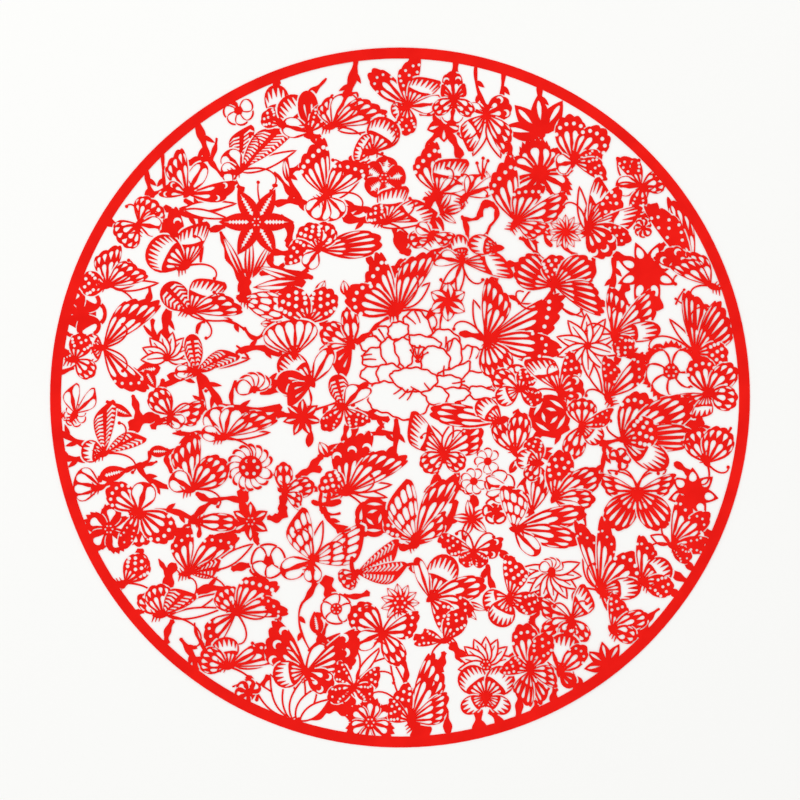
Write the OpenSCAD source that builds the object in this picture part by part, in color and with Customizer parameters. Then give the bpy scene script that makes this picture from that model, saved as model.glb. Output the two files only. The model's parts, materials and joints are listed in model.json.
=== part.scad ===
/* [Sheet] */
// Diameter of the round sheet
sheet_d = 350; // [200:1:600]
// Thickness of the paper
paper_t = 0.2; // [0.1:0.05:0.5]
// Width of the plain ring round the edge
ring_w = 5.5; // [4:0.5:10]

/* [Knife work] */
// Width of the lines that outline the petals of the peony
line_w = 1; // [0.6:0.1:1.6]
// Width of a slit in a wing at its wide end
slit_w = 1.8; // [0.8:0.1:2.4]
// Width of the narrowest stems
stem_w = 2; // [1.6:0.1:4]
// Narrowest opening that is cut between two motifs
gap_w = 0.6; // [0.2:0.1:1]

/* [Hidden] */

// Red of the dyed paper
paper_red = "#e71b14";

// The field inside the ring
field_r = sheet_d / 2 - ring_w;
// Straight cuts that make up the edge of the field
sides = 54;
// Sides of the sheet itself
rim_sides = 120;

// How far the corners of a wing fall back from its tip, as a share of its length
wing_drop = 0.42;
// Turn of the tip of a leaning wing
wing_turn = 30;
// Fullness of a wing against its stated width
wing_full = 1.15;
// How far a wing reaches behind the point where the wings meet
wing_root = 3;
// Lengths from which the rim of a wing has 3 and 4 corners instead of 2
middle_l = 15;
long_l = 25;
// How far across a wing the corners of its rim spread, for a rim of 2, 3 and 4 corners
rim_spread = [0.7, 0.9, 0.95];

// Where the slits of a wing begin and end along it, and how far they spread across it
slit_from = 0.25;
slit_to = 0.76;
slit_spread = 0.68;

// Radius of the notches between the petals of a flower, as a share of the flower's radius
notch_share = 0.6;
// Flowers under this radius have no notches
plain_r = 10;
// How far a fan of petals reaches behind its centre
fan_root = 2;

// Where a leaf is widest along its length, and half the width of its base
leaf_belly = 0.45;
leaf_base = 0.8;

// Bow beyond which a stem is bent in the middle
stem_bow = 5;

// How far an opening is widened past the edges that bound it
overcut = 0.02;

// Butterflies: x and y of the body, then the wings:
// turn, length, width, lean of the tip, slits
butterflies = [
    [-80, 114, [[88, 23, 11, 0, 0], [47, 32, 12, 0, 3], [130, 12, 10, 0, 0]]],
    [-107, 102, [[4, 25, 9, 1, 0], [60, 18, 8, 0, 0], [110, 22, 11, -1, 0], [165, 13, 8, 0, 0]]],
    [-131, 87, [[52, 14, 15, 0, 0], [220, 13, 14, 0, 0], [-10, 12, 9, 0, 0]]],
    [-107, 66, [[112, 29, 12, 0, 0], [78, 24, 13, 0, 0], [152, 22, 17, 0, 0]]],
    [-147, 56, [[88, 20, 12, 0, 0], [30, 20, 12, 0, 0], [172, 13, 11, 0, 0]]],
    [-60, 137, [[98, 20, 11, 0, 0]]],
    [-45, 133, [[128, 22, 14, 0, 0], [95, 21, 9, 0, 0], [165, 15, 9, 0, 0], [60, 15, 8, 0, 0]]],
    [-34, 136, [[105, 15, 9, 0, 0], [65, 21, 10, 0, 0], [25, 27, 13, 1, 0]]],
    [4, 146, [[137, 25, 10, 0, 0], [88, 25, 10, 0, 0], [52, 20, 12, 0, 0], [-95, 14, 9, 0, 0],
        [5, 17, 8, 0, 0]]],
    [43, 142, [[25, 13, 11, 0, 0], [232, 20, 11, 0, 0], [-52, 21, 10, 0, 0]]],
    [-14, 123, [[60, 19, 15, 0, 0], [155, 9, 13, 0, 0]]],
    [-37, 101, [[108, 28, 15, 0, 0], [48, 25, 13, 0, 3], [-65, 13, 12, 0, 0], [-120, 13, 12, 0, 0]]],
    [19, 102, [[108, 25, 14, 0, 0], [65, 22, 14, 0, 0], [30, 14, 8, 0, 0]]],
    [-7, 88, [[76, 20, 13, 0, 0], [20, 26, 11, 0, 0], [140, 10, 10, 0, 0]]],
    [-41, 74, [[8, 31, 12, 0, 0], [68, 14, 11, 0, 0], [120, 14, 12, 0, 0], [185, 17, 11, 0, 0]]],
    [31, 68, [[143, 27, 11, 1, 0], [-5, 27, 11, 0, 0], [98, 14, 8, 0, 0], [168, 14, 8, 0, 0]]],
    [50, 75, [[170, 16, 9, 0, 0]]],
    [33, 101, [[62, 14, 8, 0, 0], [22, 18, 8, 0, 0]]],
    [87, 118, [[95, 23, 14, 0, 0], [45, 22, 14, 0, 0], [12, 14, 8, 0, 0], [-15, 18, 9, 0, 0]]],
    [121, 106, [[118, 18, 9, 0, 0], [180, 13, 9, 0, 0], [15, 12, 10, 0, 0], [-100, 14, 8, 0, 0]]],
    [94, 86, [[66, 25, 11, 0, 0], [38, 24, 12, 0, 0], [10, 29, 10, 1, 0], [-18, 22, 9, 0, 0],
        [-52, 18, 13, 0, 0]]],
    [58, 88, [[106, 32, 14, 0, 0], [66, 22, 12, 0, 0], [20, 28, 11, 0, 0], [-22, 16, 9, 0, 0]]],
    [147, 63, [[103, 38, 9, 0, 0], [119, 40, 11, 0, 0], [145, 20, 11, 0, 0]]],
    [156, 56, [[116, 20, 8, 0, 0], [142, 22, 10, 0, 0]]],
    [77, 56, [[147, 21, 16, 0, 0], [85, 15, 12, 0, 0], [30, 22, 15, 0, 0], [-18, 27, 13, 0, 0]]],
    [-149, 25, [[48, 35, 14, 0, 4], [-52, 30, 11, 0, 0], [205, 11, 9, 0, 0]]],
    [-105, 43, [[135, 19, 12, 0, 0], [55, 22, 14, 0, 0], [12, 25, 11, 0, 0]]],
    [-80, 50, [[-15, 25, 12, 0, 0]]],
    [-102, 13, [[98, 19, 8, 0, 0], [28, 23, 8, 0, 0]]],
    [-115, -9, [[125, 15, 11, 0, 0], [5, 17, 11, 0, 0]]],
    [-148, -28, [[90, 27, 10, 0, 0], [28, 22, 8, 0, 0], [172, 12, 10, 0, 0]]],
    [-163, -8, [[100, 15, 8, 0, 0], [42, 16, 7, 0, 0]]],
    [-88, -20, [[112, 16, 13, 0, 0], [62, 16, 13, 0, 0], [28, 27, 10, 0, 0]]],
    [-104, -46, [[100, 27, 14, 0, 0], [42, 21, 14, 0, 0], [150, 13, 10, 0, 0]]],
    [-150, -45, [[170, 14, 15, 0, 0]]],
    [-131, -57, [[140, 19, 12, 0, 0], [75, 15, 11, 0, 0], [-90, 17, 13, 0, 0], [-38, 21, 14, 0, 0],
        [-115, 20, 7, 0, 0]]],
    [-46, 37, [[55, 20, 13, 0, 0], [125, 20, 14, 0, 0]]],
    [-24, 26, [[150, 17, 12, 0, 0], [95, 19, 8, 0, 0], [200, 21, 9, 0, 0], [238, 17, 10, 0, 0]]],
    [-1, 43, [[94, 26, 11, 0, 0], [120, 30, 14, 0, 0], [68, 34, 13, 0, 0], [160, 27, 14, 0, 0]]],
    [43, 29, [[75, 30, 14, 0, 4], [20, 43, 17, 0, 4], [-8, 36, 12, 0, 0], [-65, 20, 15, 0, 0]]],
    [-44, 7, [[140, 21, 13, 0, 0], [62, 20, 8, 0, 0], [178, 18, 11, 0, 0], [208, 16, 9, 0, 0]]],
    [-53, 21, [[100, 18, 24, 0, 0]]],
    [-28, -5, [[105, 17, 9, 0, 0], [50, 16, 10, 0, 0], [-45, 14, 9, 0, 0], [225, 15, 8, 0, 0]]],
    [-27, -48, [[82, 31, 17, 0, 0], [40, 34, 14, 0, 0], [150, 14, 13, 0, 0]]],
    [22, -28, [[140, 26, 13, 1, 3], [28, 24, 13, 0, 3], [215, 13, 10, 0, 0], [-35, 12, 9, 0, 0]]],
    [8, -72, [[138, 23, 12, 0, 0], [110, 31, 15, 0, 0], [64, 38, 11, 0, 0], [35, 20, 8, 0, 0]]],
    [-58, -48, [[92, 15, 8, 0, 0], [18, 15, 9, 0, 0]]],
    [58, -28, [[115, 19, 12, 0, 0], [82, 20, 10, 0, 0]]],
    [51, -12, [[172, 35, 10, 0, 0], [140, 16, 10, 0, 0]]],
    [56, -46, [[170, 14, 8, 0, 0]]],
    [60, 4, [[105, 13, 10, 0, 0], [150, 15, 10, 0, 0], [60, 11, 9, 0, 0], [205, 13, 9, 0, 0]]],
    [66, -58, [[104, 20, 9, 0, 0], [74, 24, 9, 0, 0], [140, 15, 10, 0, 0]]],
    [107, 31, [[80, 23, 12, 0, 0], [38, 29, 13, 0, 0], [8, 24, 9, 0, 0], [-45, 12, 10, 0, 0]]],
    [148, 22, [[86, 30, 15, 0, 0], [50, 27, 17, 0, 0], [-5, 16, 12, 0, 0]]],
    [154, 2, [[105, 18, 13, 0, 0], [45, 19, 11, 0, 0], [-15, 15, 11, 0, 0], [205, 17, 10, 0, 0],
        [255, 14, 9, 0, 0]]],
    [104, 0, [[82, 20, 9, 0, 0], [42, 28, 10, 0, 0]]],
    [80, 3, [[125, 23, 12, 0, 0], [62, 20, 10, 0, 0], [10, 12, 12, 0, 0]]],
    [111, -21, [[62, 25, 15, 0, 0], [28, 38, 16, 0, 0], [2, 36, 12, 0, 0], [-30, 27, 12, 0, 0],
        [18, 18, 14, 0, 0]]],
    [91, -14, [[88, 13, 13, 0, 0], [250, 17, 10, 0, 0], [-38, 13, 9, 0, 0], [18, 17, 7, 0, 0]]],
    [119, -47, [[168, 20, 9, 1, 0], [12, 20, 9, -1, 0], [232, 22, 14, 0, 4], [-52, 22, 14, 0, 4]]],
    [154, -33, [[112, 18, 13, 0, 0], [62, 19, 14, 0, 0]]],
    [77, -51, [[78, 24, 12, 0, 0], [30, 26, 12, 0, 0], [0, 20, 9, 0, 0], [-30, 21, 8, 0, 0]]],
    [-106, -88, [[102, 22, 11, 0, 0], [45, 30, 11, 0, 0], [10, 17, 8, 0, 0]]],
    [-138, -93, [[52, 16, 12, 0, 0]]],
    [-119, -109, [[142, 15, 8, 0, 0], [102, 15, 12, 0, 0], [45, 19, 11, 0, 0]]],
    [-82, -108, [[122, 14, 12, 0, 0], [50, 24, 15, 0, 0], [10, 25, 10, 0, 0], [222, 23, 11, 0, 0]]],
    [-104, -62, [[-2, 22, 8, 0, 0]]],
    [-86, -135, [[100, 15, 12, 0, 0], [20, 28, 11, 0, 0], [160, 15, 12, 0, 0]]],
    [-44, -82, [[112, 27, 13, 1, 3], [22, 31, 15, 1, 4], [200, 17, 10, 0, 0]]],
    [-22, -88, [[30, 27, 9, 0, 0], [0, 26, 10, 0, 0]]],
    [15, -101, [[65, 24, 14, 0, 0], [108, 22, 6, 0, 0], [16, 28, 11, 0, 0], [-18, 22, 10, 0, 0],
        [-50, 18, 11, 0, 0]]],
    [-9, -118, [[140, 19, 14, 0, 0], [15, 20, 11, 0, 0], [205, 15, 9, 0, 0], [-58, 18, 10, 0, 0]]],
    [-47, -137, [[138, 28, 17, 0, 0], [25, 31, 16, 0, 3], [190, 17, 12, 0, 0], [-35, 15, 11, 0, 0]]],
    [-23, -145, [[135, 14, 8, 0, 0], [22, 15, 9, 0, 0], [205, 14, 8, 0, 0]]],
    [43, -150, [[128, 18, 13, 0, 0], [48, 18, 13, 0, 0], [-150, 14, 8, 0, 0], [-30, 14, 8, 0, 0]]],
    [5, -162, [[62, 34, 14, 0, 0], [22, 22, 12, 0, 0], [110, 18, 11, 0, 0], [150, 14, 9, 0, 0]]],
    [22, -122, [[172, 14, 8, 0, 0], [58, 17, 10, 0, 0]]],
    [55, -100, [[78, 20, 12, 0, 0], [200, 14, 12, 0, 0], [245, 16, 12, 0, 0], [-20, 15, 10, 0, 0]]],
    [37, -77, [[165, 17, 9, 0, 0], [8, 15, 9, 0, 0]]],
    [57, -66, [[14, 36, 10, 0, 0], [-10, 32, 10, 0, 0], [-45, 18, 8, 0, 0], [90, 22, 12, 0, 0]]],
    [100, -97, [[103, 36, 9, 0, 0], [82, 36, 9, 0, 0], [40, 26, 14, 0, 0], [5, 21, 10, 0, 0],
        [-45, 20, 8, 0, 0]]],
    [86, -111, [[55, 18, 11, 0, 0], [158, 19, 8, 0, 0], [205, 16, 8, 0, 0], [-55, 13, 8, 0, 0]]],
    [121, -92, [[80, 22, 10, 0, 0], [30, 17, 12, 0, 0], [-15, 16, 10, 0, 0]]],
    [136, -74, [[68, 25, 11, 0, 0], [40, 24, 9, 0, 0], [0, 20, 8, 0, 0]]],
    [106, -116, [[72, 17, 10, 0, 0], [20, 19, 9, 0, 0], [-20, 13, 8, 0, 0]]],
    [80, -138, [[78, 20, 14, 0, 0], [108, 15, 8, 0, 0], [45, 18, 9, 0, 0]]],
    [65, -137, [[98, 23, 12, 0, 0], [62, 20, 10, 0, 0], [-58, 17, 9, 0, 0], [-105, 17, 10, 0, 0],
        [-15, 15, 9, 0, 0], [165, 14, 9, 0, 0]]]
];

// Flowers: x, y, radius, petals, turn of the first petal, and the angle that the petals fill
flowers = [
    [-72, 88, 19, 6, 0, 360], [-8, 110, 11, 5, 80, 360], [70, 112, 17, 5, 30, 360],
    [83, 83, 9, 6, 0, 360], [122, 85, 5, 8, 0, 360], [124, 63, 15, 8, 22, 360],
    [-160, 42, 13, 6, 0, 360], [-117, 20, 13, 8, -5, 190], [-163, -9, 6, 7, 180, 360],
    [-75, -35, 12, 8, 0, 360], [-73, 3, 10, 5, 50, 110], [24, 48, 10, 6, 30, 360],
    [-49, -10, 10, 7, 90, 360], [44, -32, 7, 8, 0, 360], [37, -42, 7, 8, 20, 360],
    [-13, -60, 10, 6, 30, 360], [94, 26, 15, 7, 20, 360], [136, 13, 14, 7, 90, 360],
    [75, -9, 12, 7, 0, 360], [147, -48, 12, 7, 90, 360], [-146, -66, 12, 5, 10, 360],
    [-66, -82, 9, 5, 90, 360], [-75, -62, 10, 6, 30, 360], [0, -103, 10, 5, 0, 360],
    [-32, -106, 8, 5, 50, 360], [43, -134, 14, 9, -10, 200], [-15, -163, 12, 6, 30, 360],
    [76, -88, 15, 9, -190, 210], [76, -87, 7, 5, 40, 110], [104, -134, 12, 4, 60, 130],
    [36, -61, 10, 5, 30, 360], [71, 135, 19, 5, 50, 130], [-81, 144, 8, 5, 190, 200],
    [48, -57, 7, 6, 0, 360], [-76, -148, 7, 5, 40, 200], [110, -31, 6, 4, -60, 200],
    [-64, 37, 6, 6, 0, 360]
];

// Leaves: x and y of the base, turn, length and width
leaves = [
    [-120, 15, 190, 13, 8], [-128, 14, -60, 11, 6], [-117, 11, -10, 10, 5], [-151, -40, 15, 15, 8],
    [-146, -4, -25, 13, 6], [-126, -27, 0, 11, 6], [20, 94, 60, 11, 5], [22, 93, 15, 11, 5],
    [20, 93, -35, 10, 4], [-56, 108, 100, 12, 4], [0, 84, -85, 12, 8], [-78, 58, 115, 26, 5],
    [-76, 58, 88, 25, 5], [-74, 60, 62, 22, 4], [-41, -119, 100, 12, 7], [22, 131, 82, 14, 10],
    [27, 150, 92, 14, 8], [-47, 58, 163, 26, 6], [-47, 58, 186, 27, 7], [-47, 58, 206, 20, 5]
];

// Stems: first end, bend and last end as x and y, then the width at the first and the last end
stems = [
    [-22, 170, -23, 160, -27, 151, 3, 5], [6, 166, 6, 170, 6, 172, 4, 4],
    [27, 154, 27, 148, 24, 142, 7, 4], [28, 168, 27, 160, 27, 152, 3, 7],
    [52, 162, 51, 153, 51, 147, 2, 2], [-102, 138, -98, 128, -97, 121, 4, 3],
    [-100, 90, -99, 80, -100, 68, 2.5, 1.5], [-97, 120, -103, 118, -109, 117, 4, 4],
    [-86, 149, -84, 147, -81, 144, 4, 3], [-60, 90, -53, 88, -56, 78, 4, 4],
    [-57, 112, -53, 115, -48, 116, 3, 3], [-36, 90, -36, 86, -38, 80, 4, 4],
    [-1, 138, -3, 135, -6, 132, 3, 3], [12, 97, 16, 99, 20, 103, 5, 5], [21, 92, 20, 97, 19, 104, 3, 3],
    [24, 133, 28, 128, 30, 121, 3, 4], [31, 90, 37, 88, 40, 91, 2, 1.5],
    [40, 91, 41, 100, 48, 96, 3, 4], [47, 106, 50, 108, 54, 109, 3, 3], [48, 96, 50, 90, 45, 86, 3, 1],
    [52, 112, 54, 118, 60, 120, 4, 4], [54, 130, 54, 124, 56, 119, 3, 4],
    [56, 96, 52, 104, 52, 112, 3, 4], [88, 119, 83, 119, 78, 118, 3, 3],
    [115, 92, 121, 93, 125, 88, 4, 3], [118, 97, 116, 94, 116, 91, 3, 3],
    [-138, 84, -142, 86, -148, 88, 3, 4], [-115, 46, -119, 38, -117, 29, 4, 4],
    [-99, 83, -94, 84, -88, 86, 3, 3], [-78, 35, -73, 25, -67, 34, 2, 2],
    [-77, 55, -79, 52, -80, 49, 5, 4], [-77, 60, -77, 57, -77, 52, 4, 4],
    [-56, 78, -52, 74, -46, 74, 4, 5], [-27, 53, -25, 50, -22, 48, 1.5, 2],
    [-18, 75, -16, 71, -14, 66, 3, 3], [-2, 88, -4, 84, -1, 79, 2, 3], [18, 45, 14, 41, 11, 36, 3, 3],
    [33, 78, 35, 84, 31, 91, 3, 2], [45, 86, 44, 82, 40, 77, 1, 3], [62, 66, 58, 67, 54, 67, 3, 3],
    [88, 84, 84, 84, 80, 84, 3, 3], [97, 49, 101, 47, 105, 46, 3, 3], [122, 83, 123, 79, 124, 72, 3, 3],
    [124, 56, 130, 52, 129, 45, 4, 5], [134, 78, 131, 76, 128, 73, 3, 3],
    [145, 70, 138, 69, 132, 67, 1.5, 3], [-168, -9, -171, -9, -172, -9, 4, 4],
    [-157, 25, -163, 25, -171, 20, 2.5, 2], [-134, -15, -134, -18, -138, -19, 4, 2],
    [-130, 13, -133, 13, -137, 14, 3, 3], [-121, 5, -112, 9, -102, 12, 2.5, 2],
    [-118, 0, -119, 4, -119, 9, 3, 3], [-117, -27, -114, -27, -110, -28, 3, 3],
    [-106, -21, -103, -18, -97, -19, 3, 3], [-95, -11, -99, -8, -105, -5, 3, 3],
    [-71, 7, -64, 8, -56, 8, 3, 3], [-68, -11, -64, -9, -58, -8, 3, 3],
    [-62, -8, -55, -9, -50, -10, 3, 3], [-40, -30, -44, -34, -48, -38, 4, 2],
    [-28, -23, -36, -24, -40, -30, 1, 3], [-24, -22, -23, -18, -22, -12, 3, 3],
    [-22, 28, -18, 30, -13, 34, 4, 1.5], [2, -10, 8, -11, 12, -14, 3, 3],
    [64, -24, 72, -30, 79, -30, 4, 3], [70, -18, 66, -22, 62, -24, 3, 4],
    [84, -15, 80, -20, 70, -18, 3, 3], [94, -21, 98, -23, 104, -23, 3, 3],
    [97, -24, 103, -23, 110, -21, 2, 2], [103, -24, 106, -26, 109, -30, 2, 3],
    [140, -17, 146, -12, 152, -13, 4, 4], [147, -20, 147, -16, 148, -10, 4, 4],
    [150, -14, 148, -8, 152, -2, 4, 4], [-158, -49, -162, -50, -165, -51, 4, 4],
    [-157, -31, -163, -31, -170, -30, 3, 3], [-152, -42, -150, -40, -147, -39, 3, 3],
    [-138, -37, -133, -34, -128, -34, 2, 3], [-124, -57, -114, -55, -104, -61, 2, 3],
    [-104, -61, -100, -56, -94, -52, 4, 2], [-94, -52, -86, -49, -80, -52, 1.5, 3],
    [-91, -35, -88, -35, -84, -35, 3, 3], [-80, -47, -80, -54, -76, -60, 3, 4],
    [-76, -43, -77, -47, -78, -52, 3, 3], [-74, -86, -72, -91, -67, -94, 3, 4],
    [-66, -60, -62, -62, -58, -58, 3, 5], [-58, -48, -59, -55, -60, -60, 3, 3],
    [-52, -40, -46, -36, -40, -36, 3, 3], [0, -75, 5, -76, 9, -72, 3, 4],
    [28, -34, 30, -44, 25, -52, 4, 4], [30, -45, 38, -46, 37, -54, 4, 4],
    [31, -77, 32, -72, 33, -65, 3, 3], [-138, -94, -142, -94, -146, -92, 3, 4],
    [-126, -105, -130, -107, -134, -108, 4, 4], [-100, -131, -102, -135, -103, -138, 4, 5],
    [-49, -103, -54, -112, -45, -127, 1, 1], [-46, -127, -40, -121, -30, -119, 1.5, 1.5],
    [-41, -118, -39, -121, -36, -124, 3, 3], [-28, -109, -24, -110, -19, -111, 3, 3],
    [-14, -90, 0, -82, 12, -85, 3, 3], [58, -99, 68, -101, 77, -99, 3, 3],
    [60, -150, 60, -154, 58, -162, 3, 4], [66, -112, 68, -118, 70, -122, 4, 3],
    [72, -98, 68, -106, 66, -112, 4, 4], [116, -119, 119, -117, 124, -117, 4, 6],
    [-62, -160, -60, -148, -58, -142, 4, 1.5], [-49, -158, -52, -164, -52, -164, 5, 6],
    [-48, -160, -42, -156, -40, -149, 4, 1.5], [-46, -161, -38, -160, -36, -154, 3, 4],
    [8, -162, 10, -166, 12, -172, 8, 10], [39, -157, 40, -163, 38, -168, 4, 5],
    [23, 89, 21, 93, 19, 97, 5, 5], [26, 94, 25, 96.5, 23, 99, 4, 4],
    [94, -100, 97, -97.5, 99, -95, 4, 4], [70, -130, 70, -136, 69, -142, 4, 4],
    [26, 160, 26, 166, 27, 170.5, 4, 4], [-88, -70, -88, -66, -89, -61, 4, 4],
    [-153, 58, -154, 53, -155, 49, 4, 4], [-22, -70, -21.5, -65, -21, -60, 4, 4],
    [-33, 8, -32.3, 11.5, -31.5, 16, 4, 4], [-55, -86, -59.5, -86.5, -64, -87, 4, 4],
    [5, -160, 1, -154, -2, -147, 4, 4], [-6, -165, -10, -167, -14, -166, 3, 3],
    [37, -31, 38.8, -27, 40, -23, 4, 4], [81, 4, 81.6, 0.5, 82, -3, 4, 4],
    [6, -103, 11, -102, 15, -101, 3, 3]
];

// Petals of the peony from the back to the front, each as the corners of its outline
peony = [
    [[2, 40], [8, 44], [13, 40], [16, 32], [9, 29], [3, 33]],
    [[-14, 33], [-8, 36], [-5, 32], [-7, 27], [-12, 28]],
    [[-5, 36], [-1, 38], [4, 36], [3, 31], [-3, 29], [-6, 32]],
    [[17, 33], [24, 34], [30, 29], [29, 21], [20, 21], [15, 26]],
    [[30, 22], [34, 26], [40, 24], [45, 20], [48, 15], [44, 11], [34, 12], [29, 16]],
    [[30, 12], [37, 13], [46, 11], [46, 6], [40, 4], [32, 6], [28, 9]],
    [[35, 5], [43, 5], [49, 1], [43, -1], [36, 0]],
    [[-20, 27], [-14, 31], [-10, 28], [-11, 24], [-17, 23]],
    [[-19, 18], [-16, 24], [-9, 25], [-5, 20], [-8, 15], [-15, 15]],
    [[-20, 11], [-17, 15], [-10, 15], [-8, 9], [-14, 7]],
    [[-10, 25], [-6, 30], [-2, 27], [0, 20], [-2, 14], [-7, 17]],
    [[-3, 27], [2, 30], [6, 26], [6, 18], [2, 15], [-1, 20]],
    [[5, 31], [12, 31], [20, 28], [19, 24], [12, 25], [6, 26]],
    [[24, 27], [29, 29], [31, 20], [27, 13], [24, 18]],
    [[13, 25], [20, 25], [25, 20], [23, 13], [16, 10], [11, 14], [11, 20]],
    [[19, 12], [27, 15], [35, 18], [33, 11], [26, 8]],
    [[-11, 15], [-4, 17], [1, 13], [0, 8], [-6, 7], [-11, 9]],
    [[17, 10], [26, 11], [31, 8], [27, 3], [18, 4]],
    [[20, 3], [28, 5], [35, 3], [32, -1], [24, -3]],
    [[11, 4], [18, 6], [24, 2], [22, -3], [14, -3], [10, 0]],
    [[-5, 11], [0, 14], [8, 15], [15, 13], [19, 9], [15, 4], [7, 2], [0, 4]],
    [[-15, 5], [-9, 8], [-3, 7], [3, 3], [9, 3], [13, 0], [14, -5], [9, -10], [1, -11], [-6, -8],
     [-13, -6], [-16, -1]]
];

// How far the stems reach from the centre, and the scale that ends the farthest in the middle of the ring
reach = max([for (s = stems) each [norm([s[0], s[1]]), norm([s[4], s[5]])]]);
fit = (sheet_d - ring_w) / 2 / reach;

// A point at a distance along and across a direction, seen from x, y
function place(x, y, turn, along, across) =
    fit * [x + along * cos(turn) - across * sin(turn), y + along * sin(turn) + across * cos(turn)];

// A point of wing w of butterfly b: u runs from -1 to 1 across the wing, v from 0 to 1 along it
function wing_at(b, w, u, v) =
    place(b[0], b[1], w[0],
          v * w[1] * (1 - wing_drop * (1 - cos(90 * u - wing_turn * w[3]))),
          sin(90 * v) * sin(90 * u) * wing_full * w[2] / 2);

// Places of n corners across a wing
function wing_rim(n) = [for (i = [0:n - 1]) rim_spread[n - 2] * (1 - 2 * i / (n - 1))];

// Direction across the line from a to b
function across(a, b) = [a[1] - b[1], b[0] - a[0]] / norm(b - a);

// Angle from one petal of a flower to the next
function petal_step(f) = f[5] == 360 ? 360 / f[3] : f[5] / (f[3] - 1);

module wing(b, w) {
    n = w[1] < middle_l ? 2 : w[1] < long_l ? 3 : 4;
    rim = [for (u = wing_rim(n)) wing_at(b, w, u, 1)];
    polygon(concat(rim, [place(b[0], b[1], w[0], -wing_root, 0)]));
}

// Wedge-shaped slits fanned over a wing
module wing_slits(b, w) {
    n = w[4];
    if (n > 0) for (i = [0:n - 1]) {
        u = slit_spread * (2 * i + 1 - n) / n;
        a = wing_at(b, w, u, slit_from);
        c = wing_at(b, w, u, slit_to);
        side = slit_w / 2 * across(a, c);
        polygon([a, c - side, c + side]);
    }
}

module flower(f) {
    n = f[3];
    whole = f[5] == 360;
    step = petal_step(f);
    notched = f[2] >= plain_r;
    rim = [for (i = [0:2 * n - 1]) if (i % 2 == 0 || (notched && (whole || i < 2 * n - 1)))
        place(f[0], f[1], f[4] + i * step / 2, f[2] * (i % 2 == 0 ? 1 : notch_share), 0)];
    root = whole ? [] : [place(f[0], f[1], f[4] + f[5] / 2, -fan_root, 0)];
    polygon(concat(rim, root));
}

module leaf(l) {
    belly = leaf_belly * l[3];
    outline = [[0, -leaf_base], [belly, -l[4] / 2], [l[3], 0], [belly, l[4] / 2], [0, leaf_base]];
    polygon([for (p = outline) place(l[0], l[1], l[2], p[0], p[1])]);
}

module stem(s) {
    a = fit * [s[0], s[1]];
    m = fit * [s[2], s[3]];
    c = fit * [s[4], s[5]];
    side = across(a, c);
    first = max(stem_w, fit * s[6]) / 2 * side;
    last = max(stem_w, fit * s[7]) / 2 * side;
    bent = abs((m - a) * side) > fit * stem_bow;
    mid = (a + 2 * m + c) / 4;
    half = (first + last) / 2;
    polygon(concat([a - first, a + first], bent ? [mid + half] : [],
                   [c + last, c - last], bent ? [mid - half] : []));
}

// Outlines of the peony's petals up to petal i, each over the ones behind it
module peony_lines(i) {
    if (i >= 0) difference() {
        union() {
            peony_lines(i - 1);
            offset(delta = line_w / 2) polygon(fit * peony[i]);
        }
        offset(delta = -line_w / 2) polygon(fit * peony[i]);
    }
}

// All that is left standing inside the ring
module motifs() {
    difference() {
        for (s = stems) stem(s);
        for (p = peony) polygon(fit * p);
    }
    peony_lines(len(peony) - 1);
    for (f = flowers) flower(f);
    for (l = leaves) leaf(l);
    for (b = butterflies) for (w = b[2]) wing(b, w);
}

// All that could be cut away inside the ring
module clear() {
    difference() {
        polygon([for (i = [0:sides - 1]) field_r * [cos(360 * i / sides), sin(360 * i / sides)]]);
        motifs();
    }
}

// Openings between the motifs, without those too narrow to cut
module openings() {
    intersection() {
        clear();
        offset(delta = gap_w / 2 + overcut) offset(delta = -gap_w / 2) clear();
    }
}

module paper() {
    color(paper_red) linear_extrude(paper_t) difference() {
        circle(d = sheet_d, $fn = rim_sides);
        openings();
        for (b = butterflies) for (w = b[2]) wing_slits(b, w);
    }
}

paper();
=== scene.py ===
# %% [markdown]
# # A round paper cutting
# The real object is one thin sheet of red paper, about 350 mm across. A knife has taken out everything
# but a plain ring and a lace of butterflies, flowers and stems round a large peony. The sheet lies flat.
# The CAD model holds nearly the same picture with few corners; this lesson draws it with every slit.

# %% Load the frame
import json
from math import atan2, cos, degrees, hypot, pi, radians, sin
import bpy
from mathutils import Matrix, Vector, noise
from mathutils.geometry import delaunay_2d_cdt

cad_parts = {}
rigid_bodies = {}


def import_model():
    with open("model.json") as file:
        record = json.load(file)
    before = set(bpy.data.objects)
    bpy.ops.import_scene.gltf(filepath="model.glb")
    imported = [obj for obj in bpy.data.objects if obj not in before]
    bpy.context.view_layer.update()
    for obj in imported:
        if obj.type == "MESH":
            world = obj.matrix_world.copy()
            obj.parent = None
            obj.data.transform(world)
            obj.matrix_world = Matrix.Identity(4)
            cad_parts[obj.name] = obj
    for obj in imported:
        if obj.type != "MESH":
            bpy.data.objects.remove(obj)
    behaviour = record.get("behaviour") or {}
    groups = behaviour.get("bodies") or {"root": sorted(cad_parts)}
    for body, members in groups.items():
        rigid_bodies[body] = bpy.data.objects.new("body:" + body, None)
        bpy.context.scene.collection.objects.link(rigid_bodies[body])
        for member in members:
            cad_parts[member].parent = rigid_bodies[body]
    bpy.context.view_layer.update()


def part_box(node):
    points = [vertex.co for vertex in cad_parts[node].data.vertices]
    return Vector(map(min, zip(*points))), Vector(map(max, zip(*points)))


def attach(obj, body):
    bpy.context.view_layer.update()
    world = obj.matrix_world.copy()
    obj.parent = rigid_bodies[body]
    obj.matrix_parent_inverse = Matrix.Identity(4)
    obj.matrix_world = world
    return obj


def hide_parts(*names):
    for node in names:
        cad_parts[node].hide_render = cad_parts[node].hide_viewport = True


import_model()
bpy.ops.object.select_all(action="DESELECT")

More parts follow.
